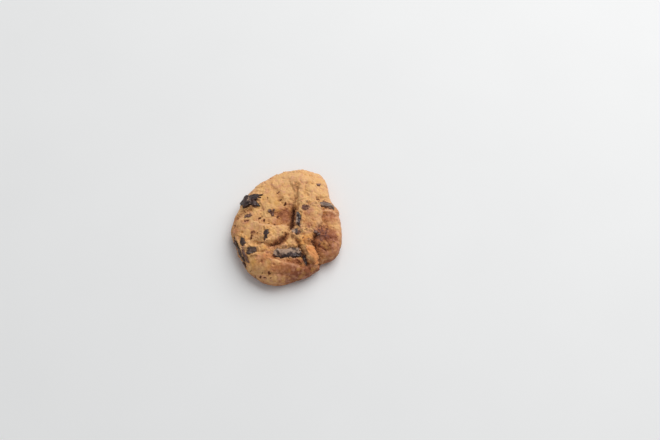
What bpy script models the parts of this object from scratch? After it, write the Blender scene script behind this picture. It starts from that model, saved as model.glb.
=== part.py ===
"""A chocolate chunk cookie, baked and whole, lying on its flat foot.

The dough is one solid. Its smooth form is a wavy outline and a domed cross-section. Ridges,
pillows, hollows and crevices are then raised or sunk along the normal of that smooth form.
Chocolate chunks that show as separate pieces are solids of their own. Each sits in a socket cut
in the dough. Small chips are fused to the dough.

Sizes below are in millimetres, seen from above with +X to the right and +Y away from the viewer.
They become metres in the meshes. +Z is up. Places are drawn from the middle of the outline's
waves. BOX_SHIFT then moves everything, so that the origin is below the middle of the whole
cookie's box, on the foot's plane.
"""

import math
import random

import bmesh
import bpy
import numpy as np
from mathutils import Matrix, Vector, noise

MM = 0.001
BOX_SHIFT = Vector((0.49, -0.44, 0.0))

# Outline of the cookie at its widest level
MEAN_RADIUS = 33.5
# Waves round the outline: how many, their height and the direction of a crest in degrees
OUTLINE_WAVES = ((1, 1.35, 21), (2, 2.75, 57), (3, 0.6, 58), (4, 1.1, -31), (5, 0.9, -35))
# Notches in the outline: direction and half width in degrees, and depth
OUTLINE_NOTCHES = ((32, 16.5, 6.1), (-53, 6.3, 2.0))

# Cross-section
CROWN_HEIGHT = 15.5
WIDEST_HEIGHT = 5.0
SHOULDER_POWER = 2.6
FOOT_INSET = 3.0

# Points worked out along the cross-section above and below its widest level
CROWN_POINTS = 400
SIDE_POINTS = 100

# Facets
TOP_SPACING = 1.2
FOOT_SPACING = 6.0

# Facets that meet sharply are softened this much, this many times
SOFTENING = 0.4
SOFTENING_PASSES = 2

# Relief fades out between these heights, so that the foot stays flat
RELIEF_STARTS = 0.8
RELIEF_FULL = 4.5

# Rounded rolls of dough: path, half width and height
ROLLS = (
    (((10.5, 30), (12.5, 20), (14, 10), (14, 0), (12.5, -7), (11, -12)), 6.8, 2.2),
    (((-27, -16), (-20, -21.5), (-10, -24.5), (0, -26.5), (7, -29), (13, -29)), 5.5, 1.5),
    (((25, 3.5), (26.5, -5), (25.5, -14), (21, -22)), 6.0, 0.9),
)
# Share of its height that a roll keeps at its ends
ROLL_ENDS = 0.35
# Pillows of dough: centre, half length, half width, turn in degrees and height
PILLOWS = (
    ((-9.0, -7.0), 11.0, 6.0, 7, 1.2),
    ((-15.0, -14.8), 4.0, 2.4, -5, 1.3),
    ((9.5, -13.4), 5.2, 3.8, 10, 1.2),
    ((11.8, -21.2), 4.6, 3.4, -55, 2.4),
    ((20.5, 19.0), 8.0, 9.5, 0, 0.8),
    ((-12.0, 17.0), 15.0, 11.0, 30, 0.7),
)
# A power below 1 gives a pillow full sides
PILLOW_FULLNESS = 0.6
# Torn lips, where one fold of dough stands above the next: path with the low fold on its left,
# drop, and how far the low fold takes to rise again
RIDGE_LIP = ((17, 13.5), (18, 11.1), (20.1, 8.1), (20.9, 3.6), (20.5, -1.6), (18.4, -4.8), (16.6, -9))
LIPS = (
    (((-20.5, 3.0), (-17.7, 1.8), (-12.9, -0.1), (-7.7, -1.6), (-0.8, -2.4), (2.0, -4.5)), 1.4, 6.0),
    (
        ((-13, -21), (-8.5, -22.2), (-5.3, -23.2), (-3.2, -24.8), (0.2, -25.7), (3.6, -26.5), (6, -28.6)),
        2.2,
        4.5,
    ),
    (RIDGE_LIP, 1.3, 8.0),
    (((16.6, -9), (13.6, -14.5), (14.4, -17.1), (15.2, -20), (16.4, -24.5)), 1.4, 7.0),
    (((2.4, -6), (4.6, 2.6), (5.5, 6.9), (6.4, 11.3), (8, 14.5), (8.9, 19.1), (10.5, 23.5)), 1.3, 5.5),
    (((-13, 13), (-17, 10.6), (-22, 9.4), (-28, 5.5)), 0.6, 4.5),
    (((19.5, 4.6), (21.4, 4.9), (23.4, 5.9), (25.6, 5.6), (27.6, 4.9), (31, 4.4)), 1.1, 3.0),
)
LIP_SOFTNESS = 0.8
LIP_BEAD = 0.35
LIP_BEAD_WIDTH = 1.6
# Hollows: path, half width and depth
HOLLOWS = (
    (((25, 5), (26.5, -6), (23, -18)), 7.0, 1.0),
    (((-7, 1.2), (-1, 3.2), (3.5, 5.5), (5.5, 11)), 4.5, 1.2),
    (((-10.5, -18.3), (-3, -18.6), (5.5, -19.8)), 4.0, 1.5),
)
# Crevices: path, half width and depth
CREVICES = (
    (((5.5, 11.0), (4.6, 7.0), (3.8, 3.5), (2.9, -0.3), (2.2, -4.2), (2.2, -7.5)), 1.9, 2.9),
    (((10.5, 24), (8.8, 20.5), (7.6, 17.5), (6.2, 13.5), (5.2, 9.5), (4.6, 6.5)), 1.0, 1.2),
    (RIDGE_LIP, 1.4, 0.7),
    (((17.4, -8.2), (14.2, -13.5), (14.4, -17.1), (15.2, -20), (16.4, -24.5), (16.8, -29)), 1.6, 1.9),
    (((-13.5, -13.2), (-9.3, -13.5), (-6.8, -12.9), (-4.2, -12), (-2.1, -10.3), (0.3, -7)), 1.8, 1.7),
    (((-22.5, -10.2), (-18.2, -11.5), (-15.1, -12.0), (-12.0, -12.9)), 1.0, 0.7),
    (((3, -10.5), (5.0, -14.0), (6.2, -17.5), (7.4, -21.5), (8.3, -25.5), (8.8, -28.5)), 1.5, 1.7),
    (((-31, 4), (-25, 9.5), (-19.5, 10.5), (-15, 13.5)), 1.3, 1.0),
    (((-8, 26), (-3.4, 17.9), (-2.6, 13.7), (-0.2, 9.5)), 1.1, 0.7),
)
# Rolls and crevices fade in and out over this share of their path
END_TAPER = 0.18

# Lumps of the baked dough: their size and height
LUMPS = ((11.0, 0.75), (5.0, 0.4))
# How far crevices and rolls wander from their drawn paths, over what length, and where in the
# noise the wander along X and along Y are read
WANDER = 0.9
WANDER_LENGTH = 4.5
WANDER_OFFSETS = (3.7, 8.1)

# Chunks of chocolate: name, place on the dough, length, width, thickness, turn in degrees,
# how far the middle is sunk below the dough's skin, the shape's seed, and the share of bloom,
# the grey film of fat that forms on warmed chocolate
CHUNKS = (
    ("chunk_front", (-2.2, -18.7), 17.0, 6.2, 5.0, -3, 1.1, 12, 0.6),
    ("chunk_right", (23.9, 8.0), 10.4, 3.0, 4.8, -4, 0.5, 5, 0.5),
    ("chunk_crevice", (6.9, -0.4), 8.0, 3.0, 4.6, 86, 1.0, 7, 0.1),
    ("chunk_crevice_low", (5.2, -7.6), 4.8, 3.4, 3.6, 20, 0.9, 3, 0.15),
    ("chunk_low_left", (-21.3, -15.2), 6.4, 3.8, 3.6, -12, 0.9, 9, 0.25),
    ("chip_low_left", (-25.7, -9.0), 5.0, 3.0, 3.2, 108, 0.8, 6, 0.2),
    ("chip_middle", (-12.4, -7.9), 6.0, 2.9, 3.2, 80, 0.9, 11, 0.2),
    ("chip_front_right", (8.0, -24.3), 6.6, 2.9, 3.4, 98, 0.7, 2, 0.1),
    # A slab that shows edge-on in the side
    ("slab_side", (-28.0, -13.8), 13.4, 1.6, 4.6, 108, 2.3, 21, 0.15),
)
SOCKET_GAP = 0.4
SHARD_CUTS = 9
# Where cuts pass, as shares of the way from a shard's middle to its corner
SHARD_CUT_RANGE = (0.58, 0.8)

# The left chunk is split into flakes: root, tip, width, thickness, and how far the tip stands
# above the dough. Root and tip are places on the dough.
LEFT_CHUNK = "chunk_left"
LEFT_CHUNK_BLOOM = 0.05
FLAKES = (
    ((-18.0, 15.6), (-25.7, 16.6), 7.0, 4.6, 2.6),
    ((-21.0, 17.2), (-11.9, 17.9), 2.8, 2.6, 0.5),
    ((-20.5, 15.4), (-13.0, 16.0), 2.6, 2.8, 0.6),
    ((-20.0, 14.4), (-14.0, 10.9), 3.2, 2.8, 0.4),
    ((-19.5, 14.2), (-24.2, 11.9), 3.0, 2.6, 0.8),
)
# How far a flake's root stands above the dough, and its shape: its widest place as a share of
# its length, and the widths of root and tip as shares of the widest
FLAKE_LIFT = 0.7
FLAKE_BELLY = 0.45
FLAKE_ROOT_WIDTH = 0.65
FLAKE_TIP_WIDTH = 0.12

# Colours of the finishes
DOUGH_COLOUR = (0.58, 0.33, 0.15)
CHOCOLATE_COLOUR = (0.05, 0.028, 0.022)
BLOOM_COLOUR = (0.25, 0.17, 0.14)

# Small chips fused to the dough: place, length, width and turn in degrees
CHIPS = (
    ((-21.6, 6.2), 3.8, 2.0, -5),
    ((-9.0, 7.3), 2.2, 1.5, 35),
    ((-7.6, 5.4), 2.8, 1.4, 80),
    ((15.6, -9.2), 2.0, 1.4, -20),
    ((17.2, -10.4), 1.7, 1.3, 30),
    ((20.0, 21.1), 3.2, 1.3, -8),
    ((-24.7, -17.8), 7.6, 1.3, 107),
)
CHIP_THICKNESS = 1.5
CHIP_CUTS = 4
CHIP_FIRST_SEED = 40
# A chip's middle lies this far below the dough's skin
CHIP_SINK = 0.15

# Steps along and round the smooth form over which its slope is taken, in mm and radians
SLOPE_STEP = 1.5
SLOPE_TURN = 0.2
# Edges sharper than this show as edges, in degrees
SHARP_EDGE = 40


def smooth_step(low, high, value):
    share = np.clip((value - low) / (high - low), 0.0, 1.0)
    return share * share * (3 - 2 * share)


def outline_radius(angle):
    """The cookie's radius at its widest level, in the direction `angle`, in radians."""
    radius = np.full_like(angle, MEAN_RADIUS)
    for count, height, crest in OUTLINE_WAVES:
        radius += height * np.cos(count * (angle - math.radians(crest)))
    for direction, half_width, depth in OUTLINE_NOTCHES:
        away = (np.degrees(angle) - direction + 180) % 360 - 180
        radius -= depth * np.exp(-((away / half_width) ** 2))
    return radius


def cross_section():
    """The smooth form from crown to foot, finely: share of the radius, inset, height."""
    rise = np.radians(np.linspace(0, 90, CROWN_POINTS))
    share = np.sin(rise) ** (2 / SHOULDER_POWER)
    height = WIDEST_HEIGHT + (CROWN_HEIGHT - WIDEST_HEIGHT) * np.cos(rise) ** (2 / SHOULDER_POWER)
    drop = np.radians(np.linspace(0, 90, SIDE_POINTS))[1:]
    share = np.append(share, np.ones_like(drop))
    inset = np.append(np.zeros_like(rise), FOOT_INSET * (1 - np.cos(drop)))
    height = np.append(height, WIDEST_HEIGHT * (1 - np.sin(drop)))
    height[-1] = 0.0
    return share, inset, height


SHARE, INSET, HEIGHT = cross_section()
SECTION_RADIUS = MEAN_RADIUS * SHARE - INSET
SECTION_LENGTH = np.append(0.0, np.cumsum(np.hypot(np.diff(SECTION_RADIUS), np.diff(HEIGHT))))


def smooth_form(length, angle):
    """Points and outward normals of the smooth form, `length` down the cross-section."""
    share = np.interp(length, SECTION_LENGTH, SHARE)
    inset = np.interp(length, SECTION_LENGTH, INSET)
    height = np.interp(length, SECTION_LENGTH, HEIGHT)
    slope_radius = np.interp(length, SECTION_LENGTH, np.gradient(SECTION_RADIUS, SECTION_LENGTH))
    slope_height = np.interp(length, SECTION_LENGTH, np.gradient(HEIGHT, SECTION_LENGTH))
    radius = share * outline_radius(angle) - inset
    tilt = np.hypot(slope_radius, slope_height)
    out, up = -slope_height / tilt, slope_radius / tilt
    points = np.stack([radius * np.cos(angle), radius * np.sin(angle), height], -1)
    normals = np.stack([out * np.cos(angle), out * np.sin(angle), up], -1)
    return points, normals


def noise_at(points, size, offset):
    """Smooth noise from about -1 to 1 whose lumps are `size` millimetres across."""
    return np.array([noise.noise(Vector(p) / size + Vector((offset, -offset, offset))) for p in points])


def curve_through(points, steps=10):
    """A Catmull-Rom curve through a few drawn points."""
    p = np.array([points[0], *points, points[-1]], float)
    t = np.linspace(0, 1, steps, endpoint=False)[:, None]
    pieces = [
        0.5 * (2 * b + (c - a) * t + (2 * a - 5 * b + 4 * c - d) * t**2 + (3 * b - a - 3 * c + d) * t**3)
        for a, b, c, d in zip(p, p[1:], p[2:], p[3:])
    ]
    return np.vstack([*pieces, p[-1]])


def beside(path, plan):
    """Distance of each point in plan from the path, above 0 on its left, and its share of the way."""
    curve = curve_through(path)
    start, step = curve[:-1], np.diff(curve, axis=0)
    lengths = np.linalg.norm(step, axis=1)
    before = np.append(0, np.cumsum(lengths))[:-1]
    best = np.full(len(plan), np.inf)
    along = np.zeros(len(plan))
    for origin, vector, length, passed in zip(start, step, lengths, before):
        share = np.clip((plan - origin) @ vector / length**2, 0, 1)
        gap = plan - origin - share[:, None] * vector
        side = np.where(vector[0] * gap[:, 1] - vector[1] * gap[:, 0] < 0, -1, 1)
        away = side * np.linalg.norm(gap, axis=1)
        closer = np.abs(away) < np.abs(best)
        best[closer] = away[closer]
        along[closer] = (passed + share * length)[closer]
    return best, along / lengths.sum()


def end_taper(along):
    return smooth_step(0, END_TAPER, along) * smooth_step(0, END_TAPER, 1 - along)


def roll_relief(plan, path, half_width, height):
    away, along = beside(path, plan)
    round_top = np.sqrt(np.clip(1 - (away / half_width) ** 2, 0, 1))
    return height * round_top * (ROLL_ENDS + (1 - ROLL_ENDS) * end_taper(along))


def pillow_relief(plan, centre, half_length, half_width, turn, height):
    angle = math.radians(turn)
    x, y = (plan - np.array(centre)).T
    lengthwise = (x * math.cos(angle) + y * math.sin(angle)) / half_length
    across = (y * math.cos(angle) - x * math.sin(angle)) / half_width
    return height * np.clip(1 - lengthwise**2 - across**2, 0, 1) ** PILLOW_FULLNESS


def groove_relief(plan, path, half_width, depth):
    away, along = beside(path, plan)
    return -depth * np.exp(-((away / half_width) ** 2)) * end_taper(along)


def lip_relief(plan, path, drop, reach):
    away, along = beside(path, plan)
    fallen = 0.5 + 0.5 * np.tanh(away / LIP_SOFTNESS)
    low_fold = drop * fallen * np.exp(-np.clip(away, 0, None) / reach)
    bead = LIP_BEAD * np.exp(-((away + LIP_BEAD_WIDTH) / LIP_BEAD_WIDTH) ** 2)
    return (bead - low_fold) * end_taper(along)


def relief(points):
    """How far the dough stands proud of the smooth form at each of its points."""
    wander = np.stack([noise_at(points, WANDER_LENGTH, offset) for offset in WANDER_OFFSETS], -1)
    plan = points[:, :2] + WANDER * wander
    total = sum(height * noise_at(points, size, size) for size, height in LUMPS)
    total += sum(roll_relief(plan, *roll) for roll in ROLLS)
    total += sum(pillow_relief(plan, *pillow) for pillow in PILLOWS)
    total += sum(lip_relief(plan, *lip) for lip in LIPS)
    total += sum(groove_relief(plan, *groove) for groove in HOLLOWS + CREVICES)
    return total * smooth_step(RELIEF_STARTS, RELIEF_FULL, points[:, 2])


def on_dough(place):
    """The point of the finished dough above `place` in plan, and the smooth form's normal there."""
    angle = math.atan2(place[1], place[0])
    share = math.hypot(*place) / outline_radius(np.array([angle]))[0]
    top = SHARE < 1
    length = np.interp(share, SHARE[top], SECTION_LENGTH[top])
    lengths = length + SLOPE_STEP * np.array([0, 1, -1, 0, 0])
    angles = angle + SLOPE_TURN * np.array([0, 0, 0, 1, -1])
    points, normals = smooth_form(lengths, angles)
    point = points[0] + normals[0] * relief(points[:1])[0]
    down, around = points[1] - points[2], points[3] - points[4]
    return Vector(point), Vector(np.cross(down, around)).normalized()


def ring_of_points(length):
    """One ring of points round the dough, evenly spaced."""
    radius = np.interp(length, SECTION_LENGTH, SECTION_RADIUS)
    count = max(6, round(2 * math.pi * radius / TOP_SPACING))
    angle = 2 * math.pi * np.arange(count) / count
    points, normals = smooth_form(np.full(count, length), angle)
    return points + normals * relief(points)[:, None]


def foot_rings(edge):
    """Rings that fill the flat foot inside its edge ring."""
    radius = np.linalg.norm(edge[:, :2], axis=1).mean()
    rings = []
    for share in np.arange(radius - FOOT_SPACING, FOOT_SPACING / 2, -FOOT_SPACING) / radius:
        count = max(6, round(2 * math.pi * radius * share / FOOT_SPACING))
        angle = 2 * math.pi * np.arange(count) / count
        reach = share * (outline_radius(angle) - FOOT_INSET)
        rings.append(np.stack([reach * np.cos(angle), reach * np.sin(angle), np.zeros(count)], -1))
    return rings


def stitch(first, second):
    """Triangles between two rings of vertices that start at the same angle."""
    i, j, faces = 0, 0, []
    while i < len(first) or j < len(second):
        a, b = first[i % len(first)], second[j % len(second)]
        if j == len(second) or (i < len(first) and (i + 1) / len(first) <= (j + 1) / len(second)):
            faces.append((a, b, first[(i + 1) % len(first)]))
            i += 1
        else:
            faces.append((a, b, second[(j + 1) % len(second)]))
            j += 1
    return faces


def dough_mesh():
    edge_length = SECTION_LENGTH[-1]
    count = round(edge_length / TOP_SPACING)
    rings = [ring_of_points(edge_length * k / count) for k in range(1, count + 1)]
    rings += foot_rings(rings[-1])
    crown_point, crown_normal = smooth_form(np.array([0.0]), np.array([0.0]))
    crown = crown_point + crown_normal * relief(crown_point)[:, None]
    bm = bmesh.new()
    layers = [[bm.verts.new(p * MM) for p in ring] for ring in (crown, *rings, np.zeros((1, 3)))]
    for upper, lower in zip(layers, layers[1:]):
        if len(upper) == 1:
            faces = [(upper[0], a, b) for a, b in zip(lower, lower[1:] + lower[:1])]
        elif len(lower) == 1:
            faces = [(a, lower[0], b) for a, b in zip(upper, upper[1:] + upper[:1])]
        else:
            faces = stitch(upper, lower)
        for face in faces:
            bm.faces.new(face)
    risen = [v for v in bm.verts if v.co.z > RELIEF_STARTS * MM]
    for _ in range(SOFTENING_PASSES):
        bmesh.ops.smooth_vert(
            bm, verts=risen, factor=SOFTENING, use_axis_x=True, use_axis_y=True, use_axis_z=True
        )
    return as_mesh(bm, "cookie_dough")


def as_mesh(bm, name):
    bmesh.ops.recalc_face_normals(bm, faces=bm.faces)
    mesh = bpy.data.meshes.new(name)
    bm.to_mesh(mesh)
    bm.free()
    return mesh


def shard_mesh(name, size, seed, cuts):
    """An angular broken shard that fills a box of `size`: a block with its corners cut off."""
    draw = random.Random(seed)
    bm = bmesh.new()
    bmesh.ops.create_cube(bm, size=1.0)
    for _ in range(cuts):
        direction = Vector([draw.uniform(-1, 1) for _ in range(3)]).normalized()
        corner = sum(abs(c) for c in direction) / 2
        place = direction * corner * draw.uniform(*SHARD_CUT_RANGE)
        everything = bm.verts[:] + bm.edges[:] + bm.faces[:]
        cut = bmesh.ops.bisect_plane(
            bm, geom=everything, plane_co=place, plane_no=direction, clear_outer=True
        )
        edges = [g for g in cut["geom_cut"] if isinstance(g, bmesh.types.BMEdge)]
        if edges:
            bmesh.ops.edgeloop_fill(bm, edges=edges)
    bmesh.ops.scale(bm, vec=Vector(size) * MM, verts=bm.verts)
    return as_mesh(bm, name)


def add_object(name, mesh, material):
    obj = bpy.data.objects.new(name, mesh)
    mesh.materials.append(material)
    bpy.context.scene.collection.objects.link(obj)
    return obj


def frame_on(point, normal, turn):
    """A placement with +Z along the normal and +X turned `turn` degrees from the row's +X."""
    along = Vector((math.cos(math.radians(turn)), math.sin(math.radians(turn)), 0))
    along = (along - normal * along.dot(normal)).normalized()
    across = normal.cross(along)
    matrix = Matrix((along, across, normal)).transposed().to_4x4()
    matrix.translation = (point + BOX_SHIFT) * MM
    return matrix


def flake_mesh(name, root, tip, width, thickness, tip_lift, gap):
    """A flat flake, widest near its middle and narrow at its tip, grown by `gap` all round."""
    start, up = on_dough(root)
    start += up * FLAKE_LIFT
    end = on_dough(tip)[0] + Vector((0, 0, tip_lift))
    along = (end - start).normalized()
    side = along.cross(up).normalized()
    up = side.cross(along)
    belly = start.lerp(end, FLAKE_BELLY)
    bm = bmesh.new()
    for middle, share in (
        (start - along * gap, FLAKE_ROOT_WIDTH), (belly, 1), (end + along * gap, FLAKE_TIP_WIDTH)
    ):
        half_width = width * share / 2 + gap
        half_thickness = thickness * math.sqrt(share) / 2 + gap
        for x, z in ((-1, -1), (1, -1), (1, 1), (-1, 1)):
            bm.verts.new((middle + side * x * half_width + up * z * half_thickness + BOX_SHIFT) * MM)
    bmesh.ops.convex_hull(bm, input=bm.verts)
    return as_mesh(bm, name)


def bloomed_finish(name, bloom):
    colour = Vector(CHOCOLATE_COLOUR).lerp(Vector(BLOOM_COLOUR), bloom)
    return material("chocolate_" + name, colour, 0.4 + 0.3 * bloom)


def left_chunk():
    """The flaked chunk, and the cutters for its socket."""
    finish = bloomed_finish(LEFT_CHUNK, LEFT_CHUNK_BLOOM)
    flakes, cutters = [
        [add_object("flake", flake_mesh("flake", *flake, gap), finish) for flake in FLAKES]
        for gap in (0, SOCKET_GAP)
    ]
    piece = flakes[0]
    piece.name = piece.data.name = LEFT_CHUNK
    join_by_boolean(piece, flakes[1:], "UNION")
    return piece, cutters


def chocolate_pieces():
    """Every chunk that is a node, and slightly larger cutters for their sockets."""
    piece, cutters = left_chunk()
    pieces = [piece]
    for name, place, length, width, thickness, turn, sink, seed, bloom in CHUNKS:
        point, normal = on_dough(place)
        matrix = frame_on(point - normal * sink, normal, turn)
        size = (length, width, thickness)
        socket = [side + 2 * SOCKET_GAP for side in size]
        finish = bloomed_finish(name, bloom)
        piece = add_object(name, shard_mesh(name, size, seed, SHARD_CUTS), finish)
        cutter = add_object("socket_" + name, shard_mesh("socket", socket, seed, SHARD_CUTS), finish)
        piece.matrix_world = cutter.matrix_world = matrix
        pieces.append(piece)
        cutters.append(cutter)
    return pieces, cutters


def small_chips(finish):
    """Flat chips that stand a little proud of the dough, for fusing to it."""
    chips = []
    for number, (place, length, width, turn) in enumerate(CHIPS):
        point, normal = on_dough(place)
        mesh = shard_mesh("chip", (length, width, CHIP_THICKNESS), CHIP_FIRST_SEED + number, CHIP_CUTS)
        chip = add_object(f"chip_{number}", mesh, finish)
        chip.matrix_world = frame_on(point - normal * CHIP_SINK, normal, turn)
        chips.append(chip)
    return chips


def join_by_boolean(target, others, operation):
    """Unites the others with the target, or cuts them from it, and removes them."""
    group = bpy.data.collections.new(operation.lower())
    bpy.context.scene.collection.children.link(group)
    for obj in others:
        group.objects.link(obj)
    modifier = target.modifiers.new(operation.title(), "BOOLEAN")
    modifier.operation = operation
    modifier.operand_type = "COLLECTION"
    modifier.collection = group
    modifier.solver = "EXACT"
    bpy.context.view_layer.update()
    graph = bpy.context.evaluated_depsgraph_get()
    result = bpy.data.meshes.new_from_object(target.evaluated_get(graph))
    target.modifiers.clear()
    old, target.data = target.data, result
    bpy.data.meshes.remove(old)
    for obj in others:
        bpy.data.objects.remove(obj)
    bpy.data.collections.remove(group)


def material(name, colour, roughness):
    made = bpy.data.materials.new(name)
    made.use_nodes = True
    shader = made.node_tree.nodes["Principled BSDF"]
    shader.inputs["Base Color"].default_value = (*colour, 1)
    shader.inputs["Roughness"].default_value = roughness
    shader.inputs["Metallic"].default_value = 0.0
    return made


def clear_scene():
    for obj in list(bpy.data.objects):
        bpy.data.objects.remove(obj)


def main():
    clear_scene()
    dough_finish = material("baked_dough", DOUGH_COLOUR, 0.8)
    dough = add_object("cookie_dough", dough_mesh(), dough_finish)
    dough.location = BOX_SHIFT * MM
    pieces, cutters = chocolate_pieces()
    join_by_boolean(dough, small_chips(dough_finish), "UNION")
    join_by_boolean(dough, cutters, "DIFFERENCE")
    for obj in [dough, *pieces]:
        obj.data.shade_smooth()
        obj.data.set_sharp_from_angle(angle=math.radians(SHARP_EDGE))


main()
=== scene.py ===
# %% [markdown]
# # A chocolate chunk cookie
#
# A baked cookie looks simple, but its skin tells how it was made: a scoop of dough slumps, its
# folds pull apart, the rim browns, and broken chocolate melts into the skin round it. The frame
# holds the cookie as plain solids, one of dough and ten of chocolate. This lesson keeps their
# form and gives each its fine surface, its colours and its crumbs.

# %% Load the frame
import math
import random

import bmesh
import bpy
import numpy as np
from mathutils import Matrix, Vector, noise


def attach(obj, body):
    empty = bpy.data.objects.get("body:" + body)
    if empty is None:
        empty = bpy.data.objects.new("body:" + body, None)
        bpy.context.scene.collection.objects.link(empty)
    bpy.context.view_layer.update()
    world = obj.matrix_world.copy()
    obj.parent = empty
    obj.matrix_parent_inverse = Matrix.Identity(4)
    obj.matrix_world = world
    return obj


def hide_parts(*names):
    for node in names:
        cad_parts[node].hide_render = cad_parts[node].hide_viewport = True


MM = 0.001
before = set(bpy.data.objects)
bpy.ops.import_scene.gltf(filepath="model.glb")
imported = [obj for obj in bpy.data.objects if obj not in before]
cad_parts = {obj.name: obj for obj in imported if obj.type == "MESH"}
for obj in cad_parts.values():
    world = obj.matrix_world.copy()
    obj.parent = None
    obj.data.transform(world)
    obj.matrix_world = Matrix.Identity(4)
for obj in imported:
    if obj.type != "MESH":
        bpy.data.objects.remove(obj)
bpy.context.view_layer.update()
scene = bpy.context.scene
print("solids in the frame:", ", ".join(sorted(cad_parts)))

# %% [markdown]
# ## The camera
#
# The photograph looks down on the cookie from 66 degrees above its foot, and the cookie stands a
# little left of the middle. We could move a camera by hand until the picture matches. It is surer
# to work it out: the cookie's middle has to land on one pixel, and the distance gives its size.

# %% Set the camera
FRAME_PIXELS = Vector((660, 440))
MIDDLE_PIXEL = Vector((286.6, 220.8))
LENS = 50.0
SENSOR = 36.0
NEAREST_SEEN = 0.01
DISTANCE = 528.6
ELEVATION = math.radians(66)
MIDDLE_HEIGHT = 8.0
# The drawn places below are measured from the middle of the outline's waves. This moves them,
# in millimetres, to the frame, whose origin is below the middle of the cookie's box.
BOX_SHIFT = Vector((0.49, -0.44, 0.0))

middle = BOX_SHIFT + Vector((0, 0, MIDDLE_HEIGHT))
back = Vector((0, -math.cos(ELEVATION), math.sin(ELEVATION)))
across = Vector((1, 0, 0))
upward = back.cross(across)
mm_per_pixel = DISTANCE * SENSOR / LENS / FRAME_PIXELS.x
off_middle = FRAME_PIXELS / 2 - MIDDLE_PIXEL
aim = middle + (across * off_middle.x - upward * off_middle.y) * mm_per_pixel
eye = middle + back * DISTANCE

camera = bpy.data.objects.new("camera", bpy.data.cameras.new("camera"))
camera.data.lens = LENS
camera.data.sensor_width = SENSOR
camera.data.clip_start = NEAREST_SEEN
camera.location = eye * MM
camera.rotation_mode = "QUATERNION"
camera.rotation_quaternion = (aim - eye).to_track_quat("-Z", "Y")
scene.collection.objects.link(camera)
scene.camera = camera
print("camera", [round(c, 3) for c in camera.location], "one pixel is", round(mm_per_pixel, 3), "mm")

# %% [markdown]
# ## Shader maths as Python
#
# A material is a net of nodes. Wiring them one call at a time hides the idea, so a small class
# wraps a socket, and Python's own operators add the Math nodes. `1 - mask * 0.5` then reads as
# what it does. Every other node comes from `node`, which takes its type, settings and sockets.

# %% Wrap a socket
def set_stops(color_ramp, stops):
    """Gives a colour ramp its stops: pairs of a place and a colour."""
    while len(color_ramp.elements) < len(stops):
        color_ramp.elements.new(0.5)
    for element, (place, colour) in zip(color_ramp.elements, stops):
        element.position = place
        element.color = colour


class Wire:
    """A socket of a node tree. Operators on it add Math nodes, and node() adds any other node."""

    def __init__(self, tree, socket=None):
        self.tree = tree
        self.socket = socket

    def node(self, kind, settings=None, sockets=None, output=0):
        made = self.tree.nodes.new(kind)
        for name, value in (settings or {}).items():
            if name == "stops":
                set_stops(made.color_ramp, value)
            else:
                setattr(made, name, value)
        named = {s.name: s for s in reversed(made.inputs)}
        named.update({s.identifier: s for s in made.inputs})
        for name, value in (sockets or {}).items():
            socket = made.inputs[name] if isinstance(name, int) else named[name]
            if isinstance(value, Wire):
                self.tree.links.new(value.socket, socket)
            else:
                socket.default_value = value
        outputs = {s.name: s for s in reversed(made.outputs)}
        outputs.update({s.identifier: s for s in made.outputs})
        return Wire(self.tree, made.outputs[output] if isinstance(output, int) else outputs[output])

    def math(self, operation, *values):
        return self.node("ShaderNodeMath", {"operation": operation}, dict(enumerate(values)))

    def finish_tree(self):
        """Makes this the group's result."""
        end = self.tree.nodes.new("NodeGroupOutput")
        self.tree.links.new(self.socket, end.inputs[0])

    def __add__(self, other):
        return self.math("ADD", self, other)

    def __radd__(self, other):
        return self.math("ADD", other, self)

    def __sub__(self, other):
        return self.math("SUBTRACT", self, other)

    def __rsub__(self, other):
        return self.math("SUBTRACT", other, self)

    def __mul__(self, other):
        return self.math("MULTIPLY", self, other)

    def __rmul__(self, other):
        return self.math("MULTIPLY", other, self)

    def ramp(self, low, high):
        """0 where this is low or less, 1 where it is high or more, and smooth between."""
        settings = {"interpolation_type": "SMOOTHSTEP"}
        return self.node("ShaderNodeMapRange", settings, {"Value": self, "From Min": low, "From Max": high})

    def mix(self, first, second):
        """A colour that goes from the first, where this is 0, to the second, where it is 1."""
        settings = {"data_type": "RGBA", "clamp_factor": True}
        sockets = {"Factor_Float": self, "A_Color": first, "B_Color": second}
        return self.node("ShaderNodeMix", settings, sockets, "Result_Color")


print("a wire offers", ", ".join(name for name in vars(Wire) if not name.startswith("_")))

# %% [markdown]
# ## Paint and noise
#
# Every finish here is paint and noise. Paint is given as a colour chart gives it, from 0 to 255,
# and noise by the size of its patches in millimetres, so both can be read off a real cookie. A
# photograph wrapped round the cookie would stretch at the rim. Noise in space covers every side.

# %% Mix paint and noise
GRAIN_SOFTNESS = 0.6


def paint(red, green, blue):
    """A colour as a paint chart gives it, 0 to 255, turned into the linear light Blender counts in."""
    chart = (c / 255 for c in (red, green, blue))
    return (*(c / 12.92 if c <= 0.04045 else ((c + 0.055) / 1.055) ** 2.4 for c in chart), 1.0)


def new_finish(name):
    """A material, its Principled shader, and a wire on the place in the object to start from."""
    material = bpy.data.materials.new(name)
    material.use_nodes = True
    tree = material.node_tree
    place = Wire(tree).node("ShaderNodeTexCoord", output="Object")
    return material, tree.nodes["Principled BSDF"], place


def connect(wire, shader, socket):
    wire.tree.links.new(wire.socket, shader.inputs[socket])


def mottle(place, size, detail=2.0, roughness=0.5):
    """Smooth noise from 0 to 1 whose patches are `size` millimetres across."""
    sockets = {"Vector": place, "Scale": 1 / (size * MM), "Detail": detail, "Roughness": roughness}
    return place.node("ShaderNodeTexNoise", None, sockets)


def grains(place, size):
    """Rounded grains `size` millimetres apart: 0 at their edges, 1 on top."""
    settings = {"feature": "SMOOTH_F1"}
    sockets = {"Vector": place, "Scale": 1 / (size * MM), "Smoothness": GRAIN_SOFTNESS}
    return 1 - place.node("ShaderNodeTexVoronoi", settings, sockets, "Distance")


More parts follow.
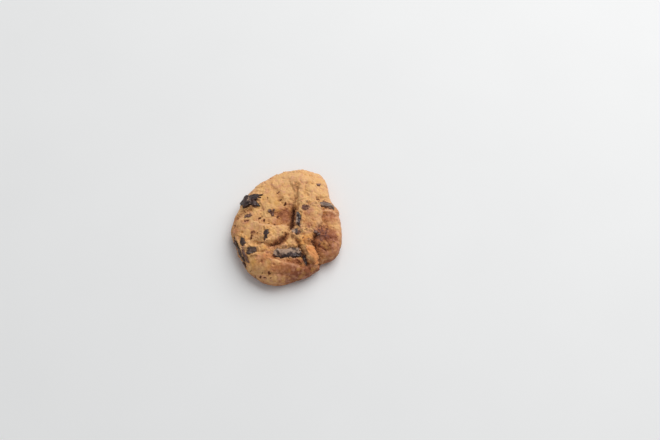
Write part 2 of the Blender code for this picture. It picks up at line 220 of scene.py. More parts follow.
def elsewhere(place, distance):
    """The place moved by so many millimetres, so that two noises read there don't agree."""
    offset = (distance * MM, distance * MM, distance * MM)
    return place.node("ShaderNodeVectorMath", {"operation": "ADD"}, {0: place, 1: offset}, "Vector")


def from_skin(place, name):
    """A value that the mesh holds at each of its points."""
    return place.node("ShaderNodeAttribute", {"attribute_name": name}, None, "Fac")


print("pale dough is", [round(c, 3) for c in paint(214, 166, 114)[:3]], "in linear light")

# %% [markdown]
# ## The outline
#
# Seen from above, the cookie is a circle that waves in and out, with two notches where folds
# meet. The solid in the frame was made from these same numbers, with facets over a millimetre
# wide. Roughening the solid would leave those facets in sight. Computing the form again, finely,
# keeps the form and leaves room for crumb.

# %% Draw the outline
MEAN_RADIUS = 33.5
# Each wave: how many go round, its height in millimetres, and the direction of a crest in degrees
OUTLINE_WAVES = ((1, 1.35, 21), (2, 2.75, 57), (3, 0.6, 58), (4, 1.1, -31), (5, 0.9, -35))
# Each notch: its direction and half width in degrees, and its depth
OUTLINE_NOTCHES = ((32, 16.5, 6.1), (-53, 6.3, 2.0))


def outline_radius(angle):
    """The cookie's radius at its widest level, in the direction `angle`, in radians."""
    radius = np.full_like(angle, MEAN_RADIUS)
    for count, height, crest in OUTLINE_WAVES:
        radius += height * np.cos(count * (angle - math.radians(crest)))
    for direction, half_width, depth in OUTLINE_NOTCHES:
        away = (np.degrees(angle) - direction + 180) % 360 - 180
        radius -= depth * np.exp(-((away / half_width) ** 2))
    return radius


all_round = outline_radius(np.radians(np.arange(360.0)))
print("radius from", round(all_round.min(), 1), "to", round(all_round.max(), 1), "mm")

# %% [markdown]
# ## The section
#
# Cut in half, the cookie shows a flat foot, a round side and a crown that is nearly level. A curve
# drawn by hand and spun would give that too, but a formula also gives its slope, which the relief
# needs. Above the widest level the section is a superellipse, and below it is a quarter round. A
# place on the skin is then two numbers: how far down the section, and in which direction.

# %% Cut the section
CROWN_HEIGHT = 15.5
WIDEST_HEIGHT = 5.0
SHOULDER_POWER = 2.6
FOOT_INSET = 3.0
CROWN_POINTS = 400
SIDE_POINTS = 100


def cross_section():
    """The smooth form from crown to foot, finely: share of the radius, inset, height."""
    rise = np.radians(np.linspace(0, 90, CROWN_POINTS))
    share = np.sin(rise) ** (2 / SHOULDER_POWER)
    height = WIDEST_HEIGHT + (CROWN_HEIGHT - WIDEST_HEIGHT) * np.cos(rise) ** (2 / SHOULDER_POWER)
    drop = np.radians(np.linspace(0, 90, SIDE_POINTS))[1:]
    share = np.append(share, np.ones_like(drop))
    inset = np.append(np.zeros_like(rise), FOOT_INSET * (1 - np.cos(drop)))
    height = np.append(height, WIDEST_HEIGHT * (1 - np.sin(drop)))
    height[-1] = 0.0
    return share, inset, height


SHARE, INSET, HEIGHT = cross_section()
SECTION_RADIUS = MEAN_RADIUS * SHARE - INSET
SECTION_LENGTH = np.append(0.0, np.cumsum(np.hypot(np.diff(SECTION_RADIUS), np.diff(HEIGHT))))


def smooth_form(length, angle):
    """Points and outward normals of the smooth form, `length` down the cross-section."""
    share = np.interp(length, SECTION_LENGTH, SHARE)
    inset = np.interp(length, SECTION_LENGTH, INSET)
    height = np.interp(length, SECTION_LENGTH, HEIGHT)
    slope_radius = np.interp(length, SECTION_LENGTH, np.gradient(SECTION_RADIUS, SECTION_LENGTH))
    slope_height = np.interp(length, SECTION_LENGTH, np.gradient(HEIGHT, SECTION_LENGTH))
    radius = share * outline_radius(angle) - inset
    tilt = np.hypot(slope_radius, slope_height)
    out, up = -slope_height / tilt, slope_radius / tilt
    points = np.stack([radius * np.cos(angle), radius * np.sin(angle), height], -1)
    normals = np.stack([out * np.cos(angle), out * np.sin(angle), up], -1)
    return points, normals


print("the section is", round(SECTION_LENGTH[-1], 1), "mm long from crown to foot")

# %% [markdown]
# ## Folds, hollows and crevices
#
# Dough that slumps in the oven folds over itself and splits. Noise makes lumps, but no fold where
# the photograph has one, so each fold is a path drawn on the crown with a width and a height. A
# roll is a half-round along its path, a crevice is a groove, and a lip is a step: on its left the
# dough has dropped away.

# %% Draw the folds
# All lengths here are millimetres and all turns degrees. Each roll: path, half width, height
ROLLS = (
    (((10.5, 30), (12.5, 20), (14, 10), (14, 0), (12.5, -7), (11, -12)), 6.8, 2.2),
    (((-27, -16), (-20, -21.5), (-10, -24.5), (0, -26.5), (7, -29), (13, -29)), 5.5, 1.5),
    (((25, 3.5), (26.5, -5), (25.5, -14), (21, -22)), 6.0, 0.9),
)
# Each pillow: middle, half length, half width, turn, height
PILLOWS = (
    ((-9.0, -7.0), 11.0, 6.0, 7, 1.2),
    ((-15.0, -14.8), 4.0, 2.4, -5, 1.3),
    ((9.5, -13.4), 5.2, 3.8, 10, 1.2),
    ((11.8, -21.2), 4.6, 3.4, -55, 2.4),
    ((20.5, 19.0), 8.0, 9.5, 0, 0.8),
    ((-12.0, 17.0), 15.0, 11.0, 30, 0.7),
)
CREST_LIP = ((-20.5, 3.0), (-17.7, 1.8), (-12.9, -0.1), (-7.7, -1.6), (-0.8, -2.4), (2.0, -4.5))
FRONT_LIP = (
    (-13, -21.0), (-8.5, -22.2), (-5.3, -23.2), (-3.2, -24.8), (0.2, -25.7), (3.6, -26.5), (6, -28.6)
)
RIDGE_LIP = ((17, 13.5), (18, 11.1), (20.1, 8.1), (20.9, 3.6), (20.5, -1.6), (18.4, -4.8), (16.6, -9))
SEAM_LIP = ((16.6, -9), (13.6, -14.5), (14.4, -17.1), (15.2, -20), (16.4, -24.5))
CREVICE_LIP = ((2.4, -6), (4.6, 2.6), (5.5, 6.9), (6.4, 11.3), (8, 14.5), (8.9, 19.1), (10.5, 23.5))
LEFT_LIP = ((-13, 13), (-17, 10.6), (-22, 9.4), (-28, 5.5))
CHUNK_LIP = ((19.5, 4.6), (21.4, 4.9), (23.4, 5.9), (25.6, 5.6), (27.6, 4.9), (31, 4.4))
# Each lip: path, drop, and how far from the lip the dough comes up again
LIPS = (
    (CREST_LIP, 1.4, 6.0),
    (FRONT_LIP, 2.2, 4.5),
    (RIDGE_LIP, 1.3, 8.0),
    (SEAM_LIP, 1.4, 7.0),
    (CREVICE_LIP, 1.3, 5.5),
    (LEFT_LIP, 0.6, 4.5),
    (CHUNK_LIP, 1.1, 3.0),
)
# Each hollow or crevice: path, half width, depth
HOLLOWS = (
    (((25, 5), (26.5, -6), (23, -18)), 7.0, 1.0),
    (((-7, 1.2), (-1, 3.2), (3.5, 5.5), (5.5, 11)), 4.5, 1.2),
    (((-10.5, -18.3), (-3, -18.6), (5.5, -19.8)), 4.0, 1.5),
)
RIDGE_CREASE = ((10.5, 24), (8.8, 20.5), (7.6, 17.5), (6.2, 13.5), (5.2, 9.5), (4.6, 6.5))
LONG_CREVICE = ((5.2, 9.6), (4.6, 6.4), (3.8, 3.2), (2.9, -0.3), (2.2, -4.2), (2.2, -7.5))
PILLOW_VALLEY = ((-13.5, -13.2), (-9.3, -13.5), (-6.8, -12.9), (-4.2, -12.0), (-2.1, -10.3), (0.3, -7.0))
LEFT_CREASE = ((-22.5, -10.2), (-18.2, -11.5), (-15.1, -12.0), (-12.0, -12.9))
SEAM = ((17.4, -8.2), (14.2, -13.5), (14.4, -17.1), (15.2, -20), (16.4, -24.5), (16.8, -29))
CRUMB_GAP = ((3, -10.5), (5.0, -14.0), (6.2, -17.5), (7.4, -21.5), (8.3, -25.5), (8.8, -28.5))
CREVICES = (
    (LONG_CREVICE, 1.8, 2.4),
    (RIDGE_CREASE, 0.9, 0.5),
    (RIDGE_LIP, 1.4, 0.7),
    (SEAM, 1.1, 1.5),
    (PILLOW_VALLEY, 1.4, 1.7),
    (LEFT_CREASE, 1.0, 0.7),
    (CRUMB_GAP, 1.0, 1.3),
    (((-31, 4), (-25, 9.5), (-19.5, 10.5), (-15, 13.5)), 1.3, 1.0),
    (((-8, 26), (-3.4, 17.9), (-2.6, 13.7), (-0.2, 9.5)), 1.1, 0.7),
)
print(len(ROLLS + PILLOWS), "rolls and pillows,", len(LIPS), "lips,", len(HOLLOWS + CREVICES), "grooves")

# %% [markdown]
# ## The distance from a path
#
# To raise a fold, every point of the skin has to know how far it is from the fold's path, on which
# side, and how far along. Straight lines between the drawn points would leave corners, so a
# smooth curve goes through them, and the nearest of its short pieces gives all three.

# %% Measure from a path
CURVE_STEPS = 10
END_TAPER = 0.18


def curve_through(points):
    """A Catmull-Rom curve through a few drawn points."""
    p = np.array([points[0], *points, points[-1]], float)
    t = np.linspace(0, 1, CURVE_STEPS, endpoint=False)[:, None]
    pieces = [
        0.5 * (2 * b + (c - a) * t + (2 * a - 5 * b + 4 * c - d) * t**2 + (3 * b - a - 3 * c + d) * t**3)
        for a, b, c, d in zip(p, p[1:], p[2:], p[3:])
    ]
    return np.vstack([*pieces, p[-1]])


def beside(path, plan):
    """Distance of each point in plan from the path, above 0 on its left, and its share of the way."""
    curve = curve_through(path)
    start, step = curve[:-1], np.diff(curve, axis=0)
    lengths = np.linalg.norm(step, axis=1)
    before = np.append(0, np.cumsum(lengths))[:-1]
    best = np.full(len(plan), np.inf)
    along = np.zeros(len(plan))
    for origin, vector, length, passed in zip(start, step, lengths, before):
        share = np.clip((plan - origin) @ vector / length**2, 0, 1)
        gap = plan - origin - share[:, None] * vector
        side = np.where(vector[0] * gap[:, 1] - vector[1] * gap[:, 0] < 0, -1, 1)
        away = side * np.linalg.norm(gap, axis=1)
        closer = np.abs(away) < np.abs(best)
        best[closer] = away[closer]
        along[closer] = (passed + share * length)[closer]
    return best, along / lengths.sum()


def smooth_step(low, high, value):
    """0 up to low, 1 from high on, and smooth between."""
    share = np.clip((value - low) / (high - low), 0.0, 1.0)
    return share * share * (3 - 2 * share)


def end_taper(along, reach=END_TAPER):
    """0 at both ends of a path and 1 over the rest of it."""
    return smooth_step(0, reach, along) * smooth_step(0, reach, 1 - along)


crevice_pieces = np.diff(curve_through(LONG_CREVICE), axis=0)
print("the long crevice runs for", round(np.linalg.norm(crevice_pieces, axis=1).sum(), 1), "mm")

# %% [markdown]
# ## Relief from the folds
#
# Each kind of fold has its own cross-section, and all of them are added up. A sculpted mesh could
# hold the same forms, but here one number moves or deepens a fold. Towards the foot the relief
# fades out, so that the cookie still lies flat.

# %% Raise the folds
# The lumps of the dough between the folds: size and height
LUMPS = ((11.0, 0.75), (5.0, 0.4))
WANDER = 0.9
WANDER_LENGTH = 4.5
WANDER_OFFSETS = (3.7, 8.1)
ROLL_ENDS = 0.35
PILLOW_FULLNESS = 0.6
LIP_SOFTNESS = 0.35
LIP_BEAD = 0.35
LIP_BEAD_WIDTH = 1.6
RELIEF_STARTS = 0.8
RELIEF_FULL = 4.5


def noise_at(points, size, offset):
    """Smooth noise from about -1 to 1, with lumps of `size` millimetres. Two offsets never agree."""
    return np.array([noise.noise(Vector(p) / size + Vector((offset, -offset, offset))) for p in points])


def wander(points):
    """A slow drift in plan that keeps the folds from running straight."""
    return WANDER * np.stack([noise_at(points, WANDER_LENGTH, each) for each in WANDER_OFFSETS], -1)


def turned(plan, place, turn):
    """How far each point is from `place`, along and across a direction of `turn` degrees."""
    angle = math.radians(turn)
    x, y = (plan - np.array(place)).T
    return x * math.cos(angle) + y * math.sin(angle), y * math.cos(angle) - x * math.sin(angle)


def roll_relief(plan, path, half_width, height):
    away, along = beside(path, plan)
    round_top = np.sqrt(np.clip(1 - (away / half_width) ** 2, 0, 1))
    return height * round_top * (ROLL_ENDS + (1 - ROLL_ENDS) * end_taper(along))


def pillow_relief(plan, centre, half_length, half_width, turn, height):
    along, across_it = turned(plan, centre, turn)
    inside = 1 - (along / half_length) ** 2 - (across_it / half_width) ** 2
    return height * np.clip(inside, 0, 1) ** PILLOW_FULLNESS


def groove_relief(plan, path, half_width, depth):
    away, along = beside(path, plan)
    return -depth * np.exp(-((away / half_width) ** 2)) * end_taper(along)


def lip_relief(plan, path, drop, reach):
    away, along = beside(path, plan)
    fallen = 0.5 + 0.5 * np.tanh(away / LIP_SOFTNESS)
    low_fold = drop * fallen * np.exp(-np.clip(away, 0, None) / reach)
    bead = LIP_BEAD * np.exp(-((away + LIP_BEAD_WIDTH) / LIP_BEAD_WIDTH) ** 2)
    return (bead - low_fold) * end_taper(along)


def fold_relief(points):
    """How far the folds stand proud of the smooth form at each of its points."""
    plan = points[:, :2] + wander(points)
    total = sum(height * noise_at(points, size, size) for size, height in LUMPS)
    total += sum(roll_relief(plan, *roll) for roll in ROLLS)
    total += sum(pillow_relief(plan, *pillow) for pillow in PILLOWS)
    total += sum(lip_relief(plan, *lip) for lip in LIPS)
    total += sum(groove_relief(plan, *groove) for groove in HOLLOWS + CREVICES)
    return total


def fade_to_foot(points):
    """0 on the foot and 1 on the crown."""
    return smooth_step(RELIEF_STARTS, RELIEF_FULL, points[:, 2])


crown_top = smooth_form(np.zeros(1), np.zeros(1))[0]
print("in the middle the folds add", round(float(fold_relief(crown_top)[0]), 2), "mm")

# %% [markdown]
# ## Where the chocolate sits
#
# The chunks are solids in the frame, but the dough has to know them: it stands up in a thin bead
# round each one and is stained by it. The small chips are fused to the dough's solid, so here they
# are made again, in the same places, as pieces of their own with chocolate's finish.

# %% Place the chocolate
# Each chunk: name, place, length, width, turn
CHUNKS = (
    ("chunk_left", (-19.5, 15.3), 9.0, 6.5, 5),
    ("chunk_front", (-2.2, -18.7), 17.0, 6.2, -3),
    ("chunk_right", (23.9, 8.0), 10.4, 3.0, -4),
    ("chunk_crevice", (6.9, -0.4), 8.0, 3.0, 86),
    ("chunk_crevice_low", (5.2, -7.6), 4.8, 3.4, 20),
    ("chunk_low_left", (-21.3, -15.2), 6.4, 3.8, -12),
    ("chip_low_left", (-25.7, -9.0), 5.0, 3.0, 108),
    ("chip_middle", (-12.4, -7.9), 6.0, 2.9, 80),
    ("chip_front_right", (8.0, -24.3), 6.6, 2.9, 98),
    ("slab_side", (-28.0, -13.8), 13.4, 1.6, 108),
)
# Each small chip: place, length, width, turn
CHIPS = (
    ((-21.6, 6.2), 3.8, 2.0, -5),
    ((-9.0, 7.3), 2.2, 1.5, 35),
    ((-7.6, 5.4), 2.8, 1.4, 80),
    ((15.6, -9.2), 2.0, 1.4, -20),
    ((17.2, -10.4), 1.7, 1.3, 30),
    ((20.0, 21.1), 3.2, 1.3, -8),
    ((-24.7, -17.8), 7.6, 1.3, 107),
)
print(len(CHUNKS), "chunks and", len(CHIPS), "small chips")

# %% [markdown]
# ## Slits, holes and a block
#
# Here begins the second, finer relief. Slits deepen the lines along which the dough split, and
# let the dark ends of the chunks show. Holes are where large bubbles broke, and one crumb broke off
# as a block with steep sides. Each is drawn where the photograph shows it, because noise alone
# would put such features anywhere.

# %% Cut slits and holes
# Each slit: path, half width, depth
SLITS = (
    (LONG_CREVICE, 0.7, 0.5),
    (PILLOW_VALLEY, 0.5, 0.5),
    (SEAM, 0.5, 0.5),
    (CRUMB_GAP, 0.5, 0.6),
    (((-13.5, -18.4), (-10.5, -18.4), (-7.5, -18.8), (-4.5, -18.8)), 2.4, 0.7),
    (((-11.5, -20.8), (-6.5, -21.6), (-1.5, -22.0), (4.0, -22.0), (7.5, -21.0)), 1.3, 1.0),
    (((7.4, -19.5), (8.0, -24.0), (8.6, -28.0)), 1.7, 0.9),
    (((-31.0, -5.5), (-29.3, -11.0), (-27.4, -16.0), (-25.2, -22.0)), 1.0, 0.8),
    (((-26.8, -11.5), (-25.3, -16.0), (-23.2, -22.4)), 0.8, 0.8),
    (((7.2, -17.9), (9.5, -17.2), (13.2, -16.2), (15.4, -17.6)), 0.55, 0.8),
    (((8.6, -25.0), (10.8, -26.3), (13.6, -25.2), (16.6, -23.4)), 0.55, 0.9),
)
# The corners of the crumb that broke off in one block
BLOCK = (
    (7.3, -18.2), (9.0, -16.7), (13.6, -16.0), (15.2, -21.0), (15.8, -25.4), (11.6, -27.4), (9.4, -21.2)
)
BLOCK_HEIGHT = 1.0
BLOCK_EDGE = 0.3
# Each hole: place, half width, depth
HOLES = (
    ((-15.3, 3.6), 0.9, 1.2),
    ((-12.7, 2.0), 0.8, 1.1),
    ((-15.9, 0.9), 0.45, 0.7),
    ((-9.9, -0.1), 0.5, 0.7),
    ((-7.1, -0.6), 0.5, 0.7),
    ((-9.0, 7.7), 0.8, 0.9),
    ((-7.2, 6.9), 0.7, 0.9),
    ((-7.9, 4.9), 0.7, 1.0),
    ((-0.1, 10.7), 0.9, 1.1),
    ((-2.6, 14.1), 0.6, 0.8),
    ((0.8, 14.4), 0.4, 0.5),
    ((-9.3, 15.3), 0.4, 0.5),
    ((2.8, -10.8), 1.0, 1.4),
    ((0.6, -7.0), 0.9, 1.2),
    ((13.3, -14.6), 0.9, 0.9),
    ((-21.4, -8.2), 0.8, 1.0),
    ((-20.6, -6.4), 0.5, 0.7),
    ((-17.4, -6.2), 0.4, 0.5),
    ((19.0, 11.8), 0.8, 1.0),
    ((-16.8, -28.6), 0.45, 0.35),
    ((-17.1, -30.3), 0.45, 0.35),
    ((-15.1, -31.8), 0.45, 0.35),
    ((-12.5, -30.2), 0.4, 0.35),
)
HOLE_EDGE_SIZE = 0.9
HOLE_EDGE_DEPTH = 0.35


def block_relief(plan):
    """The broken block, flat on top with steep sides, and how far inside it each point is."""
    corners = np.array(BLOCK)
    inside = np.full(len(plan), np.inf)
    for start, end in zip(corners, np.roll(corners, -1, axis=0)):
        x, y = (end - start) / np.linalg.norm(end - start)
        inside = np.minimum(inside, (plan - start) @ (y, -x))
    return BLOCK_HEIGHT * smooth_step(-BLOCK_EDGE, BLOCK_EDGE, inside), inside


def hole_relief(points, plan):
    """Open holes with ragged edges."""
    ragged = HOLE_EDGE_DEPTH * noise_at(points, HOLE_EDGE_SIZE, 15.0)
    total = np.zeros(len(points))
    for place, half_width, depth in HOLES:
        away = np.linalg.norm(plan - np.array(place), axis=1) + ragged
        total -= depth * np.exp(-((away / half_width) ** 4))
    return total


print(len(SLITS), "slits and", len(HOLES), "holes")

# %% [markdown]
# ## Patches of colour
#
# An oven browns a cookie in soft patches: the front and the right lobe are darker, partly toasted
# and partly painted shade, the hollows stay golden, and torn dough turns amber. Each patch is a
# soft oval, and the strongest one wins at each point. The mesh will carry them to the material as
# one value for each point, which spares the material a long list of places.

# %% Lay the patches
PATCH_EDGE = (0.35, 1.25)
# Each patch: place, half length, half width, turn, strength
# These patches darken the front and the right lobe, partly as browning and partly as painted shade
TOASTED_AND_SHADED = (
    ((-1.0, 4.2), 7.5, 7.0, 20, 0.85),
    ((-5.0, -12.2), 7.5, 2.2, 24, 0.8),
    ((21.0, -13.0), 10.0, 11.0, 20, 1.08),
    ((13.0, -1.0), 5.5, 11.0, 0, 0.42),
    ((-11.5, -17.4), 4.5, 1.8, 0, 0.5),
    ((2.0, -29.0), 19.0, 7.0, -5, 0.85),
    ((8.0, -31.0), 14.0, 7.0, -10, 1.1),
    ((6.0, -27.5), 11.0, 4.5, -14, 1.5),
    ((-16.0, -3.0), 12.0, 7.0, 0, 0.14),
    ((-23.4, 2.4), 3.8, 2.0, 0, 0.65),
    ((2.2, 9.5), 3.0, 3.0, 0, 0.4),
    ((-16.5, -23.6), 6.0, 3.6, -25, 0.38),
    ((-9.5, -20.3), 3.5, 2.0, -10, 0.5),
    ((25.0, 2.0), 7.0, 8.0, 0, 0.55),
    ((-29.0, 2.0), 3.0, 10.0, 0, 0.3),
    ((-13.0, -20.5), 8.0, 3.0, -15, 0.35),
    ((-19.5, -4.5), 2.2, 3.0, 20, 0.45),
    ((-5.0, 3.2), 2.4, 2.0, 0, 0.4),
)
GOLDEN = (
    ((7.0, -13.8), 2.6, 3.4, 10, 1.0),
    ((10.5, -11.8), 4.5, 2.4, 10, 1.0),
    ((10.6, -18.2), 3.4, 1.3, 15, 1.0),
    ((-14.9, -14.8), 4.2, 1.4, 0, 0.8),
    ((-22.0, -20.5), 4.0, 6.0, 30, 0.4),
    ((-24.0, -4.0), 4.0, 6.0, 0, 0.4),
    ((-6.0, 12.0), 7.0, 8.0, 0, 0.4),
    ((-8.0, -4.0), 11.0, 5.0, 5, 0.35),
    ((-14.0, 10.0), 9.0, 6.0, 20, 0.3),
)
AMBER = (
    ((10.0, -13.4), 4.5, 3.0, 10, 0.7),
    ((-11.5, -14.4), 3.0, 1.4, 0, 0.5),
    ((-18.6, -15.6), 1.6, 1.2, 0, 0.7),
    ((3.0, -27.5), 8.0, 2.6, -18, 0.15),
    ((-6.0, -27.0), 8.0, 4.0, -10, 0.35),
    ((-12.0, -21.0), 6.0, 2.5, -20, 0.4),
)


def patches_of(plan, patches):
    """The strongest of some soft oval patches at each point."""
    strongest = np.zeros(len(plan))
    for place, half_length, half_width, turn, strength in patches:
        along, across_it = turned(plan, place, turn)
        outward = np.hypot(along / half_length, across_it / half_width)
        strongest = np.maximum(strongest, strength * (1 - smooth_step(*PATCH_EDGE, outward)))
    return strongest


print(len(TOASTED_AND_SHADED), "toasted,", len(GOLDEN), "golden and", len(AMBER), "amber patches")

# %% [markdown]
# ## Smears and marks
#
# Chocolate that melted leaves a purple smear, and dough that singed leaves a brown mark. Many of
# the brown marks sit in holes, in the valley and along the rim, where they are painted shade. Both
# are small, and the eye finds a real cookie by them, so they are placed one by one as the
# photograph has them. Noise in the finish frays their edges later.

# %% Mark the skin
# Each smear of chocolate: place, half length, half width, turn, strength
SMEARS = (
    ((11.5, 6.2), 2.6, 2.4, 0, 1.0),
    ((12.4, 9.6), 1.8, 0.9, 20, 0.6),
    ((-21.5, 6.3), 2.6, 1.5, -5, 1.1),
    ((6.1, -8.1), 1.6, 1.4, 0, 1.0),
    ((10.3, -7.0), 1.8, 0.9, 20, 0.6),
    ((16.4, -9.6), 2.4, 1.2, -25, 0.7),
    ((20.0, 21.1), 3.0, 0.6, -10, 0.5),
    ((24.8, 10.8), 4.5, 1.2, -8, 0.6),
    ((-8.0, 6.3), 1.6, 1.9, 0, 0.8),
    ((5.2, -19.5), 1.2, 3.2, 15, 0.8),
    ((-26.2, -11.5), 1.0, 2.4, 15, 0.6),
    ((-24.9, -16.8), 0.6, 3.6, 17, 0.6),
    ((19.5, -7.5), 1.6, 2.2, 20, 0.3),
    ((17.2, -12.2), 2.2, 2.6, 0, 0.45),
    ((20.6, -9.0), 4.6, 5.5, 0, 0.5),
    ((18.2, -15.0), 2.6, 4.0, 0, 0.5),
)
# Each brown mark, where the dough singed or a chip melted away, and painted shade in the holes, the valley
# and along the rim
MARKS_AND_SHADE = (
    ((-15.3, 3.7), 1.3, 1.0, 10, 1.0),
    ((-12.7, 2.0), 1.1, 1.0, 60, 1.0),
    ((-15.8, 0.8), 0.7, 0.5, 0, 0.8),
    ((-9.9, -0.1), 1.6, 0.5, 5, 0.9),
    ((-7.1, -0.8), 1.2, 0.5, -10, 0.9),
    ((-5.0, 3.0), 2.2, 1.0, 45, 0.8),
    ((-0.1, 10.8), 1.4, 1.0, 35, 1.0),
    ((-2.5, 14.1), 1.2, 0.6, 40, 0.8),
    ((0.7, 14.5), 0.6, 0.5, 0, 0.7),
    ((-3.3, 18.4), 1.3, 0.6, 45, 0.9),
    ((-9.3, 15.4), 1.5, 0.4, 90, 0.7),
    ((6.4, 32.2), 3.0, 0.5, -5, 0.7),
    ((8.5, 21.4), 2.2, 0.7, 50, 0.4),
    ((17.2, 21.4), 1.2, 0.6, 0, 0.6),
    ((19.1, 11.4), 1.2, 0.8, -35, 1.0),
    ((-22.5, 2.7), 2.0, 0.7, 5, 0.8),
    ((-21.2, -7.6), 2.1, 0.7, 75, 1.0),
    ((-19.6, -4.4), 1.9, 1.3, 40, 0.7),
    ((-16.6, -5.6), 1.3, 0.4, 60, 0.7),
    ((-15.1, -11.9), 1.6, 0.6, 5, 0.8),
    ((-18.2, -11.6), 1.2, 0.4, 10, 0.7),
    ((13.3, -14.5), 1.4, 0.8, 0, 1.0),
    ((11.2, -12.8), 2.2, 0.9, 25, 0.4),
    ((8.2, -12.2), 1.2, 0.7, 60, 0.6),
    ((9.8, -15.6), 1.6, 0.6, -10, 0.5),
    ((-16.8, -28.6), 0.9, 0.5, 60, 0.9),
    ((-17.1, -30.3), 0.8, 0.6, 0, 0.9),
    ((-15.1, -31.4), 1.0, 0.5, -40, 0.9),
    ((-12.7, -29.6), 1.2, 0.5, 55, 0.9),
    ((-12.2, -32.0), 0.9, 0.5, 0, 0.8),
    ((-20.7, -28.9), 0.9, 0.5, -30, 0.8),
    ((-22.9, -25.2), 0.8, 0.5, -30, 0.6),
    ((-29.8, 1.0), 2.0, 0.3, 95, 0.9),
    ((18.9, -15.8), 1.8, 0.9, 0, 0.6),
    ((25.4, -15.0), 1.4, 0.8, 20, 0.7),
    ((23.0, -7.4), 0.9, 1.2, 0, 0.6),
    ((28.4, -11.5), 0.7, 1.3, 0, 0.5),
    ((5.0, 10.0), 0.7, 3.4, -10, 0.5),
    ((-5.2, -23.6), 1.6, 0.6, -20, 0.5),
    ((-8.5, -19.8), 1.2, 0.7, 0, 0.5),
    ((-4.2, -11.3), 2.6, 0.7, 28, 1.0),
    ((-8.6, -13.3), 2.0, 0.5, 12, 0.9),
    ((20.5, -11.0), 0.5, 1.1, 0, 0.6),
    ((24.3, -11.8), 0.4, 1.0, 0, 0.6),
    ((22.0, -17.5), 1.0, 0.4, 15, 0.6),
    ((26.8, -6.2), 0.4, 1.2, 0, 0.6),
    ((19.8, -19.2), 0.8, 0.5, 0, 0.6),
)
print(len(SMEARS), "smears and", len(MARKS_AND_SHADE), "marks")

# %% [markdown]
# ## Torn crumb and standing edges
#
# In the crevices and below the lips the skin tore and shows coarse crumb. The edge that was left
# standing is painted pale, partly as dough that dried and partly as painted highlight, and the rim
# at the back and right gets a painted highlight where it faces the light. These masks come from
# the paths of the folds, so that they follow any change to a fold.

# %% Tear the crumb
TORN_LIPS = LIPS[:5]
TORN_ENDS = 0.1
# Crevices of this depth and more are torn all through
DEEP_CREVICE = 1.8
# How far the crumb reaches: in half widths of a crevice, and as a share of a lip's reach
CREVICE_CRUMB = 1.4
LIP_CRUMB = 0.35
LIP_CRUMB_STRENGTH = 0.8
# How far the pale crest, partly painted highlight, is from its lip, and its half width
CREST_AWAY = 0.6
CREST_WIDTH = 0.7
CREST_STRENGTHS = ((CREST_LIP, 0.7), (FRONT_LIP, 0.45), (RIDGE_LIP, 0.5), (CHUNK_LIP, 1.0))
# The direction of the rim that faces the light and gets a painted highlight
RIM_HIGHLIGHT_DIRECTION = math.radians(62)
# Patches of torn crumb, and of pale edge that is partly painted highlight: place, half length, half width,
# turn, strength
TORN = (
    ((10.6, -14.2), 3.4, 2.2, 10, 0.9),
    ((3.4, -9.0), 2.6, 3.0, 0, 0.8),
    ((-1.0, -23.4), 7.5, 1.0, -14, 0.8),
    ((5.0, -20.0), 1.5, 4.0, 0, 0.6),
    ((24.6, 10.6), 4.5, 1.2, -6, 0.7),
)
PALE_AND_HIGHLIGHT = (
    ((3.2, -7.4), 1.4, 2.6, -10, 1.0),
    ((5.1, -0.6), 4.8, 0.6, 83, 1.0),
    ((-26.9, -15.4), 5.0, 0.6, 107, 1.1),
    ((10.2, -17.4), 2.8, 0.8, 18, 0.9),
    ((11.0, -13.2), 1.4, 0.6, 0, 0.7),
    ((-13.0, -0.6), 6.0, 0.6, -7, 0.5),
    ((-1.0, -22.4), 6.5, 0.5, -3, 0.7),
    ((15.0, -20.5), 2.4, 0.5, 106, 0.5),
    ((30.5, -3.0), 8.0, 1.2, 92, 0.5),
    ((-9.5, -14.6), 4.5, 0.5, 12, 0.6),
    ((-16.5, -15.0), 2.6, 1.1, 0, 0.45),
    ((17.6, -3.6), 1.5, 3.4, 0, 0.5),
    ((9.0, 25.5), 11.0, 4.5, -10, 0.3),
)


def torn_share(plan):
    """1 where the dough tore open and shows crumb, 0 on whole skin."""
    torn = patches_of(plan, TORN)
    for path, half_width, depth in CREVICES:
        away, along = beside(path, plan)
        strength = min(1.0, depth / DEEP_CREVICE)
        near = strength * np.exp(-((away / (CREVICE_CRUMB * half_width)) ** 2))
        near = near * end_taper(along, TORN_ENDS)
        torn = np.maximum(torn, near)
    for path, _, reach in TORN_LIPS:
        away, along = beside(path, plan)
        below = smooth_step(-0.5, 0.5, away) * np.exp(-np.clip(away, 0, None) / (LIP_CRUMB * reach))
        torn = np.maximum(torn, LIP_CRUMB_STRENGTH * below * end_taper(along, TORN_ENDS))
    return torn


def pale_edge_and_highlight_share(plan):
    """1 along the standing edge of each torn lip and on the pale patches: pale dough and painted highlight.
    """
    crest = np.zeros(len(plan))
    for path, strength in CREST_STRENGTHS:
        away, along = beside(path, plan)
        line = np.exp(-(((away + CREST_AWAY) / CREST_WIDTH) ** 2)) * end_taper(along)
        crest = np.maximum(crest, strength * line)
    return np.maximum(crest, patches_of(plan, PALE_AND_HIGHLIGHT))


def rim_share(points):
    """0 in the middle of the cookie and 1 on its outline."""
    angle = np.arctan2(points[:, 1], points[:, 0])
    return np.hypot(points[:, 0], points[:, 1]) / outline_radius(angle)


def rim_highlight(points):
    """1 near the rim at the back and right, which faces the light: a painted highlight."""
    angle = np.arctan2(points[:, 1], points[:, 0])
    facing = smooth_step(-0.4, 0.4, np.cos(angle - RIM_HIGHLIGHT_DIRECTION))
    return smooth_step(0.86, 0.98, rim_share(points)) * facing * smooth_step(3.0, 6.0, points[:, 2])


print("crumb in", len(CREVICES), "crevices and below", len(TORN_LIPS), "lips")

